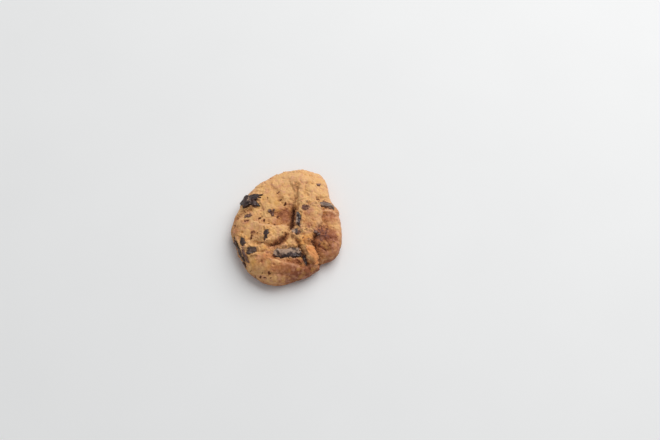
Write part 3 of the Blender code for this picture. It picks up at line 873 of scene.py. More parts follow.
# %% [markdown]
# ## Bubbles and creases
#
# Steam leaves the dough through the skin. Small bubbles break and leave pits of a few sizes, and
# the drying skin wrinkles into hairline creases. The pits are scattered with a fixed seed. The
# creases follow the lines along which a noise is zero, which run and branch as wrinkles do.

# %% Prick and crease the skin
PIT_COUNT = 520
PIT_SEED = 7
PIT_REACH = 34
PIT_WIDTHS = (0.25, 0.3, 0.3, 0.4, 0.4, 0.55, 0.75)
PIT_DEPTHS = (0.6, 1.1)
# Each noise of creases: its size, their sharpness and depth
CREASES = ((6.0, 0.07, 0.5), (3.1, 0.10, 0.34), (1.5, 0.14, 0.16))
CREASED_PATCHES = 10.0


def pit_relief(points):
    """Broken bubbles: many small and a few larger pits, spread at random over the skin."""
    draw = random.Random(PIT_SEED)
    total = np.zeros(len(points))
    for _ in range(PIT_COUNT):
        reach = PIT_REACH * math.sqrt(draw.random())
        angle = draw.uniform(0, 2 * math.pi)
        half_width = draw.choice(PIT_WIDTHS)
        depth = draw.uniform(*PIT_DEPTHS) * half_width
        away = points[:, :2] - (reach * math.cos(angle), reach * math.sin(angle))
        near = np.abs(away).max(1) < 3 * half_width
        total[near] -= depth * np.exp(-(away[near] ** 2).sum(1) / half_width**2)
    return total


def crease_relief(points):
    """Hairline creases of the dried skin, in patches."""
    total = np.zeros(len(points))
    for size, sharpness, depth in CREASES:
        line = np.exp(-((noise_at(points, size, 60 + size) / sharpness) ** 2))
        patch = smooth_step(-0.25, 0.35, noise_at(points, CREASED_PATCHES, 70 + size))
        total -= depth * line * patch
    return total


crown_pit = float(pit_relief(crown_top)[0])
print(PIT_COUNT, "pits, which take", round(-crown_pit, 3), "mm from the middle of the crown")

# %% [markdown]
# ## Dough against chocolate
#
# Dough flows against a chunk and sets there as a thin ragged bead, with flaps that lap over its
# ends, and fat from the chocolate stains it. Sinking a chunk into plain dough would leave a
# clean line round it, and a clean line looks like a toy. The shore here wanders with noise.

# %% Press the dough to the chunks
# The dough's edge wanders round a chunk. Each noise: size, height, offset
SHORE = ((1.9, 0.6, 12.0), (0.8, 0.4, 13.0))
FLAP_HEIGHT = 1.3
BEAD_HEIGHT = 0.4
GAP_DEPTH = 0.3
CHUNK_STAIN = 0.55
CHIP_STAIN = 0.8


def round_chunks(points):
    """The bead of dough round each chunk, and how near each point is to chocolate."""
    plan = points[:, :2]
    shore = sum(height * noise_at(points, size, offset) for size, height, offset in SHORE)
    crown = 1 - smooth_step(0.78, 0.88, rim_share(points))
    flaps = FLAP_HEIGHT * crown * smooth_step(0.0, 0.4, noise_at(points, 2.3, 14.0))
    bead = np.zeros(len(plan))
    stain = np.zeros(len(plan))
    for _, place, length, width, turn in CHUNKS:
        along, across_it = turned(plan, place, turn)
        ring = ((along / (length / 2)) ** 4 + (across_it / (width / 2)) ** 4) ** 0.25
        away = (ring - 1) * width / 2 + shore
        lifted = BEAD_HEIGHT * np.exp(-(((away - 0.8) / 0.7) ** 2))
        bead += lifted - GAP_DEPTH * np.exp(-((away / 0.4) ** 2))
        bead += flaps * np.exp(-(((away - 0.1) / 0.9) ** 2))
        stain = np.maximum(stain, CHUNK_STAIN * np.exp(-(((away + 0.8) / 0.8) ** 2)))
    for place, length, width, turn in CHIPS:
        away = np.linalg.norm(plan - np.array(place), axis=1) / (0.5 * math.sqrt(length * width))
        stain = np.maximum(stain, CHIP_STAIN * np.exp(-np.clip(away - 0.5, 0, None) ** 2 * 4))
    return bead, stain


crown_stain = round_chunks(crown_top)[1]
print("stain in the middle of the crown:", round(float(crown_stain[0]), 3))

# %% [markdown]
# ## The fine relief, all together
#
# Torn dough is coarse crumb, and whole skin is a soft grain. Both are noise at three sizes, and a
# mask chooses between them. The same numbers that shape the skin also say where it is torn or
# stained, and where it gets painted shade in its hollows, so that colour and relief can't drift apart.

# %% Add up the relief
# Each noise: its size and height
TORN_CRUMB = ((2.1, 0.55), (0.95, 0.36), (0.5, 0.16))
SKIN_GRAIN = ((3.2, 0.22), (1.5, 0.13), (0.7, 0.08))
RAGGED = ((1.8, 0.6), (0.7, 0.25))
# How much painted shade pits and creases get, and the depth at which the painted shade is darkest
PIT_SHADE = 1.6
CREASE_SHADE = 1.2
DARKEST_DEPTH = 3.2
# How strong the painted highlight on the rim is
RIM_HIGHLIGHT_STRENGTH = 0.3
# Heights over which pits, colours and loose crumbs fade in
PITS_FADE = (6.5, 9.0)
COLOURS_FADE = (0.5, 4.0)
CRUMBS_FADE = (6, 9)


def fine_skin(points):
    """The whole relief of the visible skin, and the masks that its finish reads."""
    ragged = sum(
        height * np.stack([noise_at(points, size, 1.7), noise_at(points, size, 6.3)], -1)
        for size, height in RAGGED
    )
    ragged_points = points.copy()
    ragged_points[:, :2] += ragged
    folds = fold_relief(ragged_points)
    plan = ragged_points[:, :2] + wander(points)
    torn = torn_share(plan)
    slit = sum(groove_relief(plan, *each) for each in SLITS)
    holes = hole_relief(points, plan)
    crumb = sum(height * noise_at(points, size, 20 + size) for size, height in TORN_CRUMB)
    grain = sum(height * noise_at(points, size, 30 + size) for size, height in SKIN_GRAIN)
    bead, stain = round_chunks(points)
    # Bubbles broke on the crown alone. The wall and the foot keep plain skin.
    pits = pit_relief(points) * smooth_step(*PITS_FADE, points[:, 2])
    creases = crease_relief(points)
    block, inside = block_relief(plan)
    total = folds + slit + holes + bead + crumb * torn + grain + pits + creases + block
    # How deep each point lies, which the finish paints as shade in hollows, pits and creases
    sunk = -sum(groove_relief(plan, *groove) for groove in CREVICES) - slit - holes
    sunk -= PIT_SHADE * pits + CREASE_SHADE * creases
    masks = {
        "hollow": np.clip(sunk / DARKEST_DEPTH, 0, 1),
        "torn": torn,
        "stain": np.maximum(stain, patches_of(plan, SMEARS)),
        "crest": np.maximum(pale_edge_and_highlight_share(plan), RIM_HIGHLIGHT_STRENGTH * rim_highlight(points)),
        "mark": patches_of(plan, MARKS_AND_SHADE),
        "toasted": patches_of(plan, TOASTED_AND_SHADED),
        "golden": patches_of(plan, GOLDEN),
        "amber": np.maximum(smooth_step(-0.1, 0.7, inside), patches_of(plan, AMBER)),
    }
    painted = smooth_step(*COLOURS_FADE, points[:, 2])
    masks = {name: values * painted for name, values in masks.items()}
    upper = smooth_step(*CRUMBS_FADE, points[:, 2])
    masks["crumbly"] = upper * np.clip(torn**1.5 * 0.8 + 0.02, 0, 1)
    masks["dusty"] = upper * np.clip(0.15 * masks["stain"] + 0.05 * torn + 0.0005, 0, 1)
    return total * fade_to_foot(points), masks


crown_height, crown_masks = fine_skin(crown_top)
print("relief in the middle:", round(float(crown_height[0]), 2), "mm, masks:", ", ".join(crown_masks))

# %% [markdown]
# ## The skin as rings of points
#
# A grid would waste points on the rim, and a sphere's poles would pinch. Rings that grow with
# their radius keep every facet near one size, and two neighbouring rings are stitched with
# triangles. At 0.28 mm a facet is finer than a grain of sugar, and the piece stays within the
# number of triangles that an export can hold.

# %% Lay out the rings
SKIN_SPACING = 0.28
FOOT_SPACING = 0.9


def ring_angles(radius, spacing):
    count = max(6, round(2 * math.pi * radius / spacing))
    return 2 * math.pi * np.arange(count) / count


def skin_rings():
    """Points and normals of the smooth form in rings from crown to foot, and each ring's size."""
    edge = SECTION_LENGTH[-1]
    steps = round(edge / SKIN_SPACING)
    lengths = edge * np.arange(1, steps + 1) / steps
    rings = [smooth_form(np.zeros(1), np.zeros(1))]
    for length in lengths:
        angle = ring_angles(np.interp(length, SECTION_LENGTH, SECTION_RADIUS), SKIN_SPACING)
        rings.append(smooth_form(np.full(len(angle), length), angle))
    foot_radius = MEAN_RADIUS - FOOT_INSET
    foot_steps = round(foot_radius / FOOT_SPACING)
    for share in 1 - np.arange(1, foot_steps) / foot_steps:
        angle = ring_angles(foot_radius * share, FOOT_SPACING)
        reach = share * (outline_radius(angle) - FOOT_INSET)
        flat = np.zeros_like(angle)
        down = np.tile([0.0, 0.0, -1.0], (len(angle), 1))
        rings.append((np.stack([reach * np.cos(angle), reach * np.sin(angle), flat], -1), down))
    rings.append((np.zeros((1, 3)), np.array([[0.0, 0.0, -1.0]])))
    sizes = [len(points) for points, _ in rings]
    return np.vstack([p for p, _ in rings]), np.vstack([n for _, n in rings]), sizes


skin_points, skin_normals, ring_sizes = skin_rings()
print(len(ring_sizes), "rings with", len(skin_points), "points")

# %% [markdown]
# ## The skin as one mesh
#
# Two neighbouring rings seldom have the same number of points. Walking round both at once and
# always stepping on the ring that is behind fills the gap with well-shaped triangles. Then every
# point moves out along its normal by the relief, and the masks are written beside the points.

# %% Stitch the skin
def stitch(first, second):
    """Triangles between two rings of point numbers that start at the same angle."""
    i, j, faces = 0, 0, []
    while i < len(first) or j < len(second):
        a, b = first[i % len(first)], second[j % len(second)]
        if j == len(second) or (i < len(first) and (i + 1) / len(first) <= (j + 1) / len(second)):
            faces.append((a, b, first[(i + 1) % len(first)]))
            i += 1
        else:
            faces.append((a, b, second[(j + 1) % len(second)]))
            j += 1
    return [face for face in faces if len(set(face)) == 3]


def skin_faces(sizes):
    starts = np.append(0, np.cumsum(sizes))
    rings = [list(range(a, b)) for a, b in zip(starts, starts[1:])]
    return [face for upper, lower in zip(rings, rings[1:]) for face in stitch(upper, lower)]


def write_masks(mesh, masks):
    for name, values in masks.items():
        layer = mesh.attributes.new(name, "FLOAT", "POINT")
        layer.data.foreach_set("value", np.asarray(values, np.float32))


skin_height, skin_masks = fine_skin(skin_points)
skin_points = skin_points + skin_normals * skin_height[:, None]
skin_mesh = bpy.data.meshes.new("dough_skin")
skin_mesh.from_pydata((skin_points + BOX_SHIFT) * MM, [], skin_faces(ring_sizes))
skin_mesh.shade_smooth()
write_masks(skin_mesh, skin_masks)
print("skin:", len(skin_mesh.vertices), "points,", len(skin_mesh.polygons), "triangles")

# %% [markdown]
# ## Baked dough
#
# Baking dries and browns dough from the rim inwards, so the crown stays pale gold and the side
# turns to brown. The masks on the mesh say where, and noise at several sizes, from wide clouds to
# freckles, breaks the colour up. Each colour is laid over the last: first the bake, with painted
# shade in the toasted patches, then crumb, painted shade in the hollows, pale edges with painted
# highlights, marks that are partly painted shade, and smears.

# %% Mix the dough's colours
# Stops from pale crown to brown rim
BAKE = (
    (0.0, paint(234, 184, 124)),
    (0.3, paint(216, 160, 106)),
    (0.62, paint(178, 113, 74)),
    (1.0, paint(140, 79, 52)),
)
GOLDEN_SKIN = paint(224, 164, 86)
AMBER_SKIN = paint(230, 150, 88)
PINK_SKIN = paint(212, 150, 120)
CRUMB_COLOUR = paint(166, 106, 60)
PALE_EDGE_AND_HIGHLIGHT_COLOUR = paint(236, 186, 142)
HOLLOW_SHADE_COLOUR = paint(108, 62, 40)
STAIN_COLOUR = paint(92, 56, 54)
MARK_AND_SHADE_COLOUR = paint(112, 64, 38)


def dough_colour(place, patches, freckles):
    """Baked skin with painted shade, then crumb, painted shade in hollows, crests with painted highlights,
    marks partly painted as shade, and smears, each over the last.
    """
    clouds = mottle(place, 15, 3.0) - 0.5
    height = place.node("ShaderNodeSeparateXYZ", None, {0: place}, "Z")
    side = 1 - height.ramp(0.0015, 0.0115)
    foot = 1 - height.ramp(0.0003, 0.0025)
    # The toasted patches add browning and painted shade alike
    baked = side * 0.6 + foot * 0.2 + from_skin(place, "toasted") * 0.8 + clouds * 0.6
    baked = baked + (patches - 0.5) * 1.2 + (freckles - 0.5) * 0.65 + 0.06
    colour = baked.node("ShaderNodeValToRGB", {"stops": BAKE}, {"Fac": baked}, "Color")
    pink = mottle(elsewhere(place, 50), 2.6, 2.0).ramp(0.48, 0.7)
    colour = (pink * 0.6).mix(colour, PINK_SKIN)
    gold = mottle(elsewhere(place, 90), 4.0, 2.0).ramp(0.5, 0.72) * 0.45
    gold = gold + from_skin(place, "golden") * (0.2 + patches * 0.8)
    colour = gold.mix(colour, GOLDEN_SKIN)
    colour = (from_skin(place, "amber") * (0.35 + patches * 0.9)).mix(colour, AMBER_SKIN)
    colour = (from_skin(place, "torn") * (0.2 + freckles)).mix(colour, CRUMB_COLOUR)
    # Painted shade: the skin darkens the deeper it lies in hollows, pits and creases
    colour = from_skin(place, "hollow").ramp(0.16, 1.0).mix(colour, HOLLOW_SHADE_COLOUR)
    # Pale crests and patches, partly dried dough and partly painted highlight, and a painted highlight on
    # the rim that faces the light
    colour = (from_skin(place, "crest") * (freckles + 0.2)).mix(colour, PALE_EDGE_AND_HIGHLIGHT_COLOUR)
    uneven = (patches - 0.5) * 1.1 + (freckles - 0.5) * 1.7
    mark = from_skin(place, "mark")
    stain = from_skin(place, "stain")
    # Brown marks, many of them painted shade in holes, in the valley and along the rim
    colour = ((mark + uneven).ramp(0.3, 0.75) * mark.ramp(0.0, 0.3)).mix(colour, MARK_AND_SHADE_COLOUR)
    smear = (stain + uneven).ramp(0.25, 0.85) * stain.ramp(0.0, 0.3)
    return (smear * 0.9).mix(colour, STAIN_COLOUR)


print("baked from", [round(c, 2) for c in BAKE[0][1][:3]], "to", [round(c, 2) for c in BAKE[-1][1][:3]])

# %% [markdown]
# ## The dough's finish
#
# Light sinks a little into dough and comes back soft, so the finish is rough, with a faint sheen
# of fat. Bumps finer than the mesh can hold come from the same noise as the freckles. One
# material serves the skin and its crumbs, because they are the same dough.

# %% Bake the dough
DOUGH_SPECULAR = 0.25
DOUGH_SHEEN = 0.06
DOUGH_SHEEN_ROUGHNESS = 0.4


def new_piece(name, mesh, finish):
    """An object at the origin that wears one finish."""
    piece = bpy.data.objects.new(name, mesh)
    mesh.materials.clear()
    mesh.materials.append(finish)
    scene.collection.objects.link(piece)
    return piece


def dough_finish():
    material, shader, place = new_finish("baked_dough")
    patches = mottle(place, 3.4, 3.0, 0.6)
    freckles = mottle(place, 1.3, 4.0, 0.65)
    grain = mottle(place, 0.4, 3.0, 0.6)
    connect(dough_colour(place, patches, freckles), shader, "Base Color")
    connect(0.6 + grain * 0.25, shader, "Roughness")
    relief = freckles * 1.2 + grains(place, 0.9) * 0.5 + grains(place, 0.45) * 0.35 + grain * 0.5
    sockets = {"Strength": 0.65, "Distance": 0.25 * MM, "Height": relief}
    connect(place.node("ShaderNodeBump", None, sockets), shader, "Normal")
    shader.inputs["Specular IOR Level"].default_value = DOUGH_SPECULAR
    shader.inputs["Sheen Weight"].default_value = DOUGH_SHEEN
    shader.inputs["Sheen Roughness"].default_value = DOUGH_SHEEN_ROUGHNESS
    return material


baked_dough = dough_finish()
dough_skin = new_piece("dough_skin", skin_mesh, baked_dough)
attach(dough_skin, "root")
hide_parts("cookie_dough")
print("dough finish:", len(baked_dough.node_tree.nodes), "nodes")

# %% [markdown]
# ## Chocolate
#
# Dark chocolate that was warmed and cooled again grows a bloom, a grey film of fat, on the faces
# that saw the air. Broken edges stay dark. The mesh says where the bloom is and noise frays it,
# and it takes away gloss as well as colour. The small chips melted into the dough and look
# browner, so the same finish is made twice, with other colours.

# %% The chocolate's finish
CHOCOLATE = paint(42, 25, 22)
CHOCOLATE_LIGHT = paint(74, 47, 41)
MELTED = paint(80, 46, 38)
MELTED_LIGHT = paint(122, 76, 56)
CHOCOLATE_BLOOM = paint(178, 148, 126)


def chocolate_finish(name, dark, light):
    material, shader, place = new_finish(name)
    clouds = mottle(place, 2.2, 4.0, 0.6)
    flecks = mottle(place, 0.7, 3.0, 0.6)
    bloom = from_skin(place, "bloom") * (0.55 + flecks * 0.9)
    colour = clouds.ramp(0.4, 0.65).mix(dark, light)
    connect(bloom.mix(colour, CHOCOLATE_BLOOM), shader, "Base Color")
    connect(0.34 + bloom * 0.4 + flecks * 0.15, shader, "Roughness")
    relief = clouds * 0.8 + flecks * 0.5 + mottle(place, 0.3, 2.0) * 0.3
    sockets = {"Strength": 0.6, "Distance": 0.2 * MM, "Height": relief}
    connect(place.node("ShaderNodeBump", None, sockets), shader, "Normal")
    return material


chocolate = chocolate_finish("chocolate", CHOCOLATE, CHOCOLATE_LIGHT)
melted_chocolate = chocolate_finish("melted_chocolate", MELTED, MELTED_LIGHT)
print("chocolate finish:", len(chocolate.node_tree.nodes), "nodes")

# %% [markdown]
# ## Broken chunks
#
# A chunk breaks off a bar with flat, slightly rough faces. The solids have the faces, but of few
# long triangles, and to subdivide those would make more long ones. So each solid is copied and
# remeshed in even small facets, which noise at three sizes then moves along their normals.

# %% Remesh and roughen
# Points closer than this many millimetres become one
WELD = 0.001


def even_mesh(mesh, voxel):
    """The same shape with small facets of one size."""
    holder = bpy.data.objects.new("holder", mesh)
    scene.collection.objects.link(holder)
    remesh = holder.modifiers.new("even", "REMESH")
    remesh.mode = "VOXEL"
    remesh.voxel_size = voxel * MM
    graph = bpy.context.evaluated_depsgraph_get()
    even = bpy.data.meshes.new_from_object(holder.evaluated_get(graph))
    bpy.data.objects.remove(holder)
    return even


def points_of(mesh):
    """The mesh's points, in millimetres."""
    return np.array([v.co for v in mesh.vertices]) / MM


def roughen(mesh, sizes, seed):
    """Moves each point along its normal by noise: pairs of a size and a height in millimetres."""
    points = points_of(mesh)
    normals = np.array([v.normal for v in mesh.vertices])
    push = sum(height * noise_at(points, size, seed + size) for size, height in sizes)
    points += normals * push[:, None]
    mesh.vertices.foreach_set("co", (points * MM).ravel())
    mesh.update()


def mesh_from(bm, name):
    """The bmesh as a mesh. The bmesh is freed."""
    mesh = bpy.data.meshes.new(name)
    bm.to_mesh(mesh)
    bm.free()
    return mesh


def join_meshes(name, meshes):
    joined = bmesh.new()
    for mesh in meshes:
        joined.from_mesh(mesh)
    bmesh.ops.remove_doubles(joined, verts=joined.verts, dist=WELD * MM)
    return mesh_from(joined, name)


plains = {name: join_meshes(name + "_plain", [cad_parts[name].data]) for name, *_ in CHUNKS}
print("facets of the solids:", {name: len(plain.polygons) for name, plain in plains.items()})

# %% [markdown]
# ## Bloom
#
# Each chunk has its own story. The front one saw the air and bloomed on top, and its lower edge
# is left dark, partly broken chocolate and partly painted shade on the side away from the light.
# Those in the crevice flaked into pale splinters, and others have a thin film. Bloom could be
# painted by hand. A few functions of place describe it, and each chunk picks one.

# %% Let the chocolate bloom
def bloom_front_and_shade(points):
    """The front chunk: bloomed where it saw the air, dark along its lower edge, partly broken and partly
    painted shade.
    """
    edge = noise_at(points, 2.2, 41.0) * 1.5 + noise_at(points, 0.8, 43.0) * 0.8
    spots = smooth_step(0.1, 0.4, noise_at(points, 1.6, 47.0))
    flaked = 0.25 * noise_at(points * (1.8, 0.5, 1.0), 1.5, 45.0)
    upper = (1.15 + flaked) * smooth_step(-20.0, -18.4, points[:, 1] + edge) * (1 - 0.85 * spots)
    left_end = smooth_step(-5.5, -8.0, points[:, 0]) * smooth_step(-0.1, 0.4, noise_at(points, 1.1, 49.0))
    return np.maximum(upper, 0.55 * left_end)


def bloom_left_of(place):
    """A chunk whose left side, left of this place, flaked into pale splinters."""
    def splinters(points):
        edge = noise_at(points, 1.4, 55.0) * 0.9 + noise_at(points, 0.6, 57.0) * 0.5
        return 1.1 * smooth_step(place + 0.4, place - 0.6, points[:, 0] + edge)
    return splinters


def bloom_film(share):
    """A chunk with a thin film of bloom all over, a little uneven."""
    def film(points):
        return share * (1 + 0.8 * noise_at(points, 1.3, 61.0))
    return film


def bloom_streaks(points):
    """A chunk bloomed in streaks along its length."""
    streaks = noise_at(points * (0.35, 2.2, 1.0), 2.0, 59.0)
    return 0.3 + 0.6 * smooth_step(-0.25, 0.4, streaks)


def bloom_clouds(share):
    """A chunk with bloom in clouds over this share of it."""
    def clouds(points):
        cloud = noise_at(points, 2.6, 51.0) + 0.5 * noise_at(points, 0.9, 53.0)
        return 0.8 * smooth_step(0.45 - share, 0.95 - share, cloud)
    return clouds


BLOOM = {
    "chunk_front": bloom_front_and_shade,
    "chunk_right": bloom_streaks,
    "chunk_left": bloom_clouds(0.15),
    "chunk_crevice": bloom_left_of(6.2),
    "chunk_crevice_low": bloom_left_of(4.3),
    "chunk_low_left": bloom_film(0.14),
    "chip_middle": bloom_film(0.04),
    "chip_low_left": bloom_film(0.08),
    "chip_front_right": bloom_clouds(-0.1),
}
LITTLE_BLOOM = bloom_film(0.1)
BLOOMED_SLOTS = ("chunk_front", "chunk_right")
print("bloomed in their own way:", ", ".join(BLOOM))

# %% [markdown]
# ## The ten chunks
#
# Ten chunks differ in form and bloom, yet all are made in the same way, so one loop remeshes,
# roughens and blooms them. The flakes of the left chunk are thin, and the relief that suits a
# thick chunk would pierce them, so theirs is lower.

# %% Build the chunks
CHUNK_VOXEL = 0.2
FRACTURE = ((3.0, 0.5), (1.3, 0.28), (0.5, 0.1))
FLAKE_FRACTURE = ((1.5, 0.25), (0.7, 0.16), (0.4, 0.06))
SEED_STEP = 3.3

for number, (name, *_) in enumerate(CHUNKS):
    broken = even_mesh(plains[name], CHUNK_VOXEL)
    roughen(broken, FLAKE_FRACTURE if name == "chunk_left" else FRACTURE, SEED_STEP * number)
    broken.shade_smooth()
    places = points_of(broken) - np.array(BOX_SHIFT)
    write_masks(broken, {"bloom": BLOOM.get(name, LITTLE_BLOOM)(places)})
    slot = "bloomed_chocolate" if name in BLOOMED_SLOTS else "dark_chocolate"
    chunk = new_piece(name + "_broken", broken, chocolate)
    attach(chunk, "root")
    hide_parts(name)
    print(name, len(broken.polygons), "facets")

# %% [markdown]
# ## Small chips
#
# Small chips stand a little proud of the skin. In the solid they are fused to the dough, so they
# can't be copied from it. They are made as they were made there: a block with its corners cut off
# at random, with a fixed seed, so that each shard is the same in every run.

# %% Break a shard
SHARD_CUT_RANGE = (0.58, 0.8)


def shard_mesh(name, size, seed, cuts):
    """An angular broken shard that fills a box of `size`: a block with its corners cut off."""
    draw = random.Random(seed)
    bm = bmesh.new()
    bmesh.ops.create_cube(bm, size=1.0)
    for _ in range(cuts):
        direction = Vector([draw.uniform(-1, 1) for _ in range(3)]).normalized()
        corner = sum(abs(c) for c in direction) / 2
        place = direction * corner * draw.uniform(*SHARD_CUT_RANGE)
        everything = bm.verts[:] + bm.edges[:] + bm.faces[:]
        cut = bmesh.ops.bisect_plane(
            bm, geom=everything, plane_co=place, plane_no=direction, clear_outer=True
        )
        edges = [g for g in cut["geom_cut"] if isinstance(g, bmesh.types.BMEdge)]
        if edges:
            bmesh.ops.edgeloop_fill(bm, edges=edges)
    bmesh.ops.scale(bm, vec=Vector(size) * MM, verts=bm.verts)
    bmesh.ops.recalc_face_normals(bm, faces=bm.faces)
    return mesh_from(bm, name)


trial = shard_mesh("trial", (3.0, 1.5, 1.5), 1, 4)
print("a shard has", len(trial.polygons), "faces")
bpy.data.meshes.remove(trial)

# %% [markdown]
# ## Laying a chip on the dough
#
# A chip has to lie on the slope that is under it, or it would float or stand on edge. The slope
# comes from four points of the smooth form round the place, and the height from the folds. The
# slivers that cling to the chunks are laid in the same way, and all of them become one piece.

# %% Lay the small chips
SLOPE_STEP = 1.5
SLOPE_TURN = 0.2
RIM_LIMIT = 0.995
CHIP_THICKNESS = 1.5
CHIP_CUTS = 4
CHIP_FIRST_SEED = 40
CHIP_SINK = 0.4
CHIP_VOXEL = 0.15
CHIP_FRACTURE = ((1.5, 0.4), (0.6, 0.14))
CHIP_SEED_STEP = 7.7
# Slivers in the crumb: place, length, width, turn
SLIVERS = (
    ((5.4, -20.2), 3.6, 1.6, 95),
    ((-17.0, 11.0), 2.2, 1.0, 20),
    ((7.6, -4.6), 1.8, 1.2, 70),
    ((2.8, -5.2), 1.2, 0.8, 30),
    ((-23.8, -12.4), 2.0, 0.9, 60),
    ((-6.4, 7.6), 1.3, 0.8, 0),
    ((-26.2, -13.2), 3.6, 1.3, 104),
    ((-26.0, -20.9), 3.6, 1.3, 112),
    ((-30.8, -5.4), 2.6, 0.9, 96),
)


def on_dough(place):
    """The point of the dough above `place` in plan, and the smooth form's normal there."""
    angle = math.atan2(place[1], place[0])
    share = min(RIM_LIMIT, math.hypot(*place) / outline_radius(np.array([angle]))[0])
    top = SHARE < 1
    length = np.interp(share, SHARE[top], SECTION_LENGTH[top])
    lengths = length + SLOPE_STEP * np.array([0, 1, -1, 0, 0])
    angles = angle + SLOPE_TURN * np.array([0, 0, 0, 1, -1])
    points, normals = smooth_form(lengths, angles)
    lift = (fold_relief(points[:1]) * fade_to_foot(points[:1]))[0]
    down, around = points[1] - points[2], points[3] - points[4]
    return Vector(points[0] + normals[0] * lift), Vector(np.cross(down, around)).normalized()


def frame_on(point, normal, turn):
    """A placement with +Z along the normal and +X turned `turn` degrees from the frame's +X."""
    along = Vector((math.cos(math.radians(turn)), math.sin(math.radians(turn)), 0))
    along = (along - normal * along.dot(normal)).normalized()
    matrix = Matrix((along, normal.cross(along), normal)).transposed().to_4x4()
    matrix.translation = (point + BOX_SHIFT) * MM
    return matrix


chip_meshes = []
for number, (place, length, width, turn) in enumerate(CHIPS + SLIVERS):
    point, normal = on_dough(place)
    chip = shard_mesh("chip", (length, width, CHIP_THICKNESS), CHIP_FIRST_SEED + number, CHIP_CUTS)
    chip.transform(frame_on(point - normal * CHIP_SINK, normal, turn))
    chip = even_mesh(chip, CHIP_VOXEL)
    roughen(chip, CHIP_FRACTURE, CHIP_SEED_STEP * number)
    chip_meshes.append(chip)
chips_mesh = join_meshes("small_chips", chip_meshes)
chips_mesh.shade_smooth()
write_masks(chips_mesh, {"bloom": LITTLE_BLOOM(points_of(chips_mesh))})
small_chips = new_piece("small_chips", chips_mesh, melted_chocolate)
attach(small_chips, "root")
print("small chips:", len(chips_mesh.polygons), "facets")

# %% [markdown]
# ## Kinds of crumb
#
# Where dough tore, loose crumbs cling, and broken chocolate leaves dust. A crumb has no flat
# face, so each is a ball that noise swells and dents, a little flatter than it is wide. Four
# kinds are enough: once they are turned and sized at random, no two look alike.

# %% Shape the crumbs
CRUMB_KINDS = 4
CRUMB_WIDTH = 0.75
DOUGH_FLATNESS = 0.7
CHOCOLATE_FLATNESS = 0.5


def crumb_kinds(name, flatness):
    """A collection of irregular crumbs, each about a millimetre across."""
    kinds = bpy.data.collections.new(name)
    for number in range(CRUMB_KINDS):
        bm = bmesh.new()
        bmesh.ops.create_icosphere(bm, subdivisions=2, radius=0.5)
        for vertex in bm.verts:
            swell = 1 + 0.5 * noise.noise(vertex.co * 2 + Vector((number, 0, 0)))
            swell += 0.25 * noise.noise(vertex.co * 5 + Vector((0, number, 0)))
            vertex.co *= swell
        bmesh.ops.scale(bm, vec=(MM, CRUMB_WIDTH * MM, flatness * MM), verts=bm.verts)
        kinds.objects.link(bpy.data.objects.new(f"{name}_{number}", mesh_from(bm, name)))
    return kinds


dough_crumbs = crumb_kinds("dough_crumb", DOUGH_FLATNESS)
chocolate_crumbs = crumb_kinds("chocolate_crumb", CHOCOLATE_FLATNESS)

# %% [markdown]
# ## The recipe for scattering
#
# There are hundreds of crumbs, and placing them by hand would take hours. A recipe in Geometry
# Nodes lays points on the skin where a mask allows them, none nearer to the next than the gap,
# and puts a crumb of any kind on each. The crumb's middle is on the skin, so that none floats. The
# recipe is a net of nodes too, so the same wires write it.

# %% Write the recipe
SCATTER_INPUTS = (
    ("Ground", "NodeSocketGeometry"),
    ("Kinds", "NodeSocketCollection"),
    ("Mask", "NodeSocketString"),
    ("Number per square metre", "NodeSocketFloat"),
    ("Gap", "NodeSocketFloat"),
    ("Smallest", "NodeSocketFloat"),
    ("Largest", "NodeSocketFloat"),
    ("Seed", "NodeSocketInt"),
    ("Finish", "NodeSocketMaterial"),
)


def scatter_recipe():
    tree = bpy.data.node_groups.new("scatter", "GeometryNodeTree")
    for name, kind in SCATTER_INPUTS:
        tree.interface.new_socket(name, in_out="INPUT", socket_type=kind)
    tree.interface.new_socket("Crumbs", in_out="OUTPUT", socket_type="NodeSocketGeometry")
    start = Wire(tree)
    given = tree.nodes.new("NodeGroupInput")
    given = {name: Wire(tree, given.outputs[name]) for name, _ in SCATTER_INPUTS}
    mask = start.node(
        "GeometryNodeInputNamedAttribute",
        {"data_type": "FLOAT"},
        {"Name": given["Mask"]},
        "Attribute",
    )
    points = start.node(
        "GeometryNodeDistributePointsOnFaces",
        {"distribute_method": "POISSON"},
        {
            "Mesh": given["Ground"],
            "Distance Min": given["Gap"],
            "Density Max": given["Number per square metre"],
            "Density Factor": mask,
            "Seed": given["Seed"],
        },
        "Points",
    )
    kinds = start.node(
        "GeometryNodeCollectionInfo",
        None,
        {"Collection": given["Kinds"], "Separate Children": True, "Reset Children": True},
        "Instances",
    )
    turn = start.node(
        "FunctionNodeRandomValue",
        {"data_type": "FLOAT_VECTOR"},
        {"Max": (2 * math.pi, 2 * math.pi, 2 * math.pi), "Seed": given["Seed"]},
        0,
    )
    size = start.node(
        "FunctionNodeRandomValue",
        {"data_type": "FLOAT"},
        {"Min_001": given["Smallest"], "Max_001": given["Largest"], "Seed": given["Seed"]},
        1,
    )
    crumbs = start.node(
        "GeometryNodeInstanceOnPoints",
        None,
        {"Points": points, "Instance": kinds, "Pick Instance": True, "Rotation": turn, "Scale": size},
        "Instances",
    )
    real = start.node("GeometryNodeRealizeInstances", None, {"Geometry": crumbs}, "Geometry")
    coloured = {"Geometry": real, "Material": given["Finish"]}
    start.node("GeometryNodeSetMaterial", None, coloured, "Geometry").finish_tree()
    return tree


recipe = scatter_recipe()
print("the recipe has", len(recipe.nodes), "nodes and", len(SCATTER_INPUTS), "inputs")

# %% [markdown]
# ## Crumbs of dough, dust of chocolate
#
# The recipe runs twice. Dough crumbs lie in torn dough and reach a millimetre, while the
# chocolate's dust is finer and keeps to the stains. What the recipe makes is then kept as a plain
# mesh, one piece for each kind, because a library can't hold a recipe.

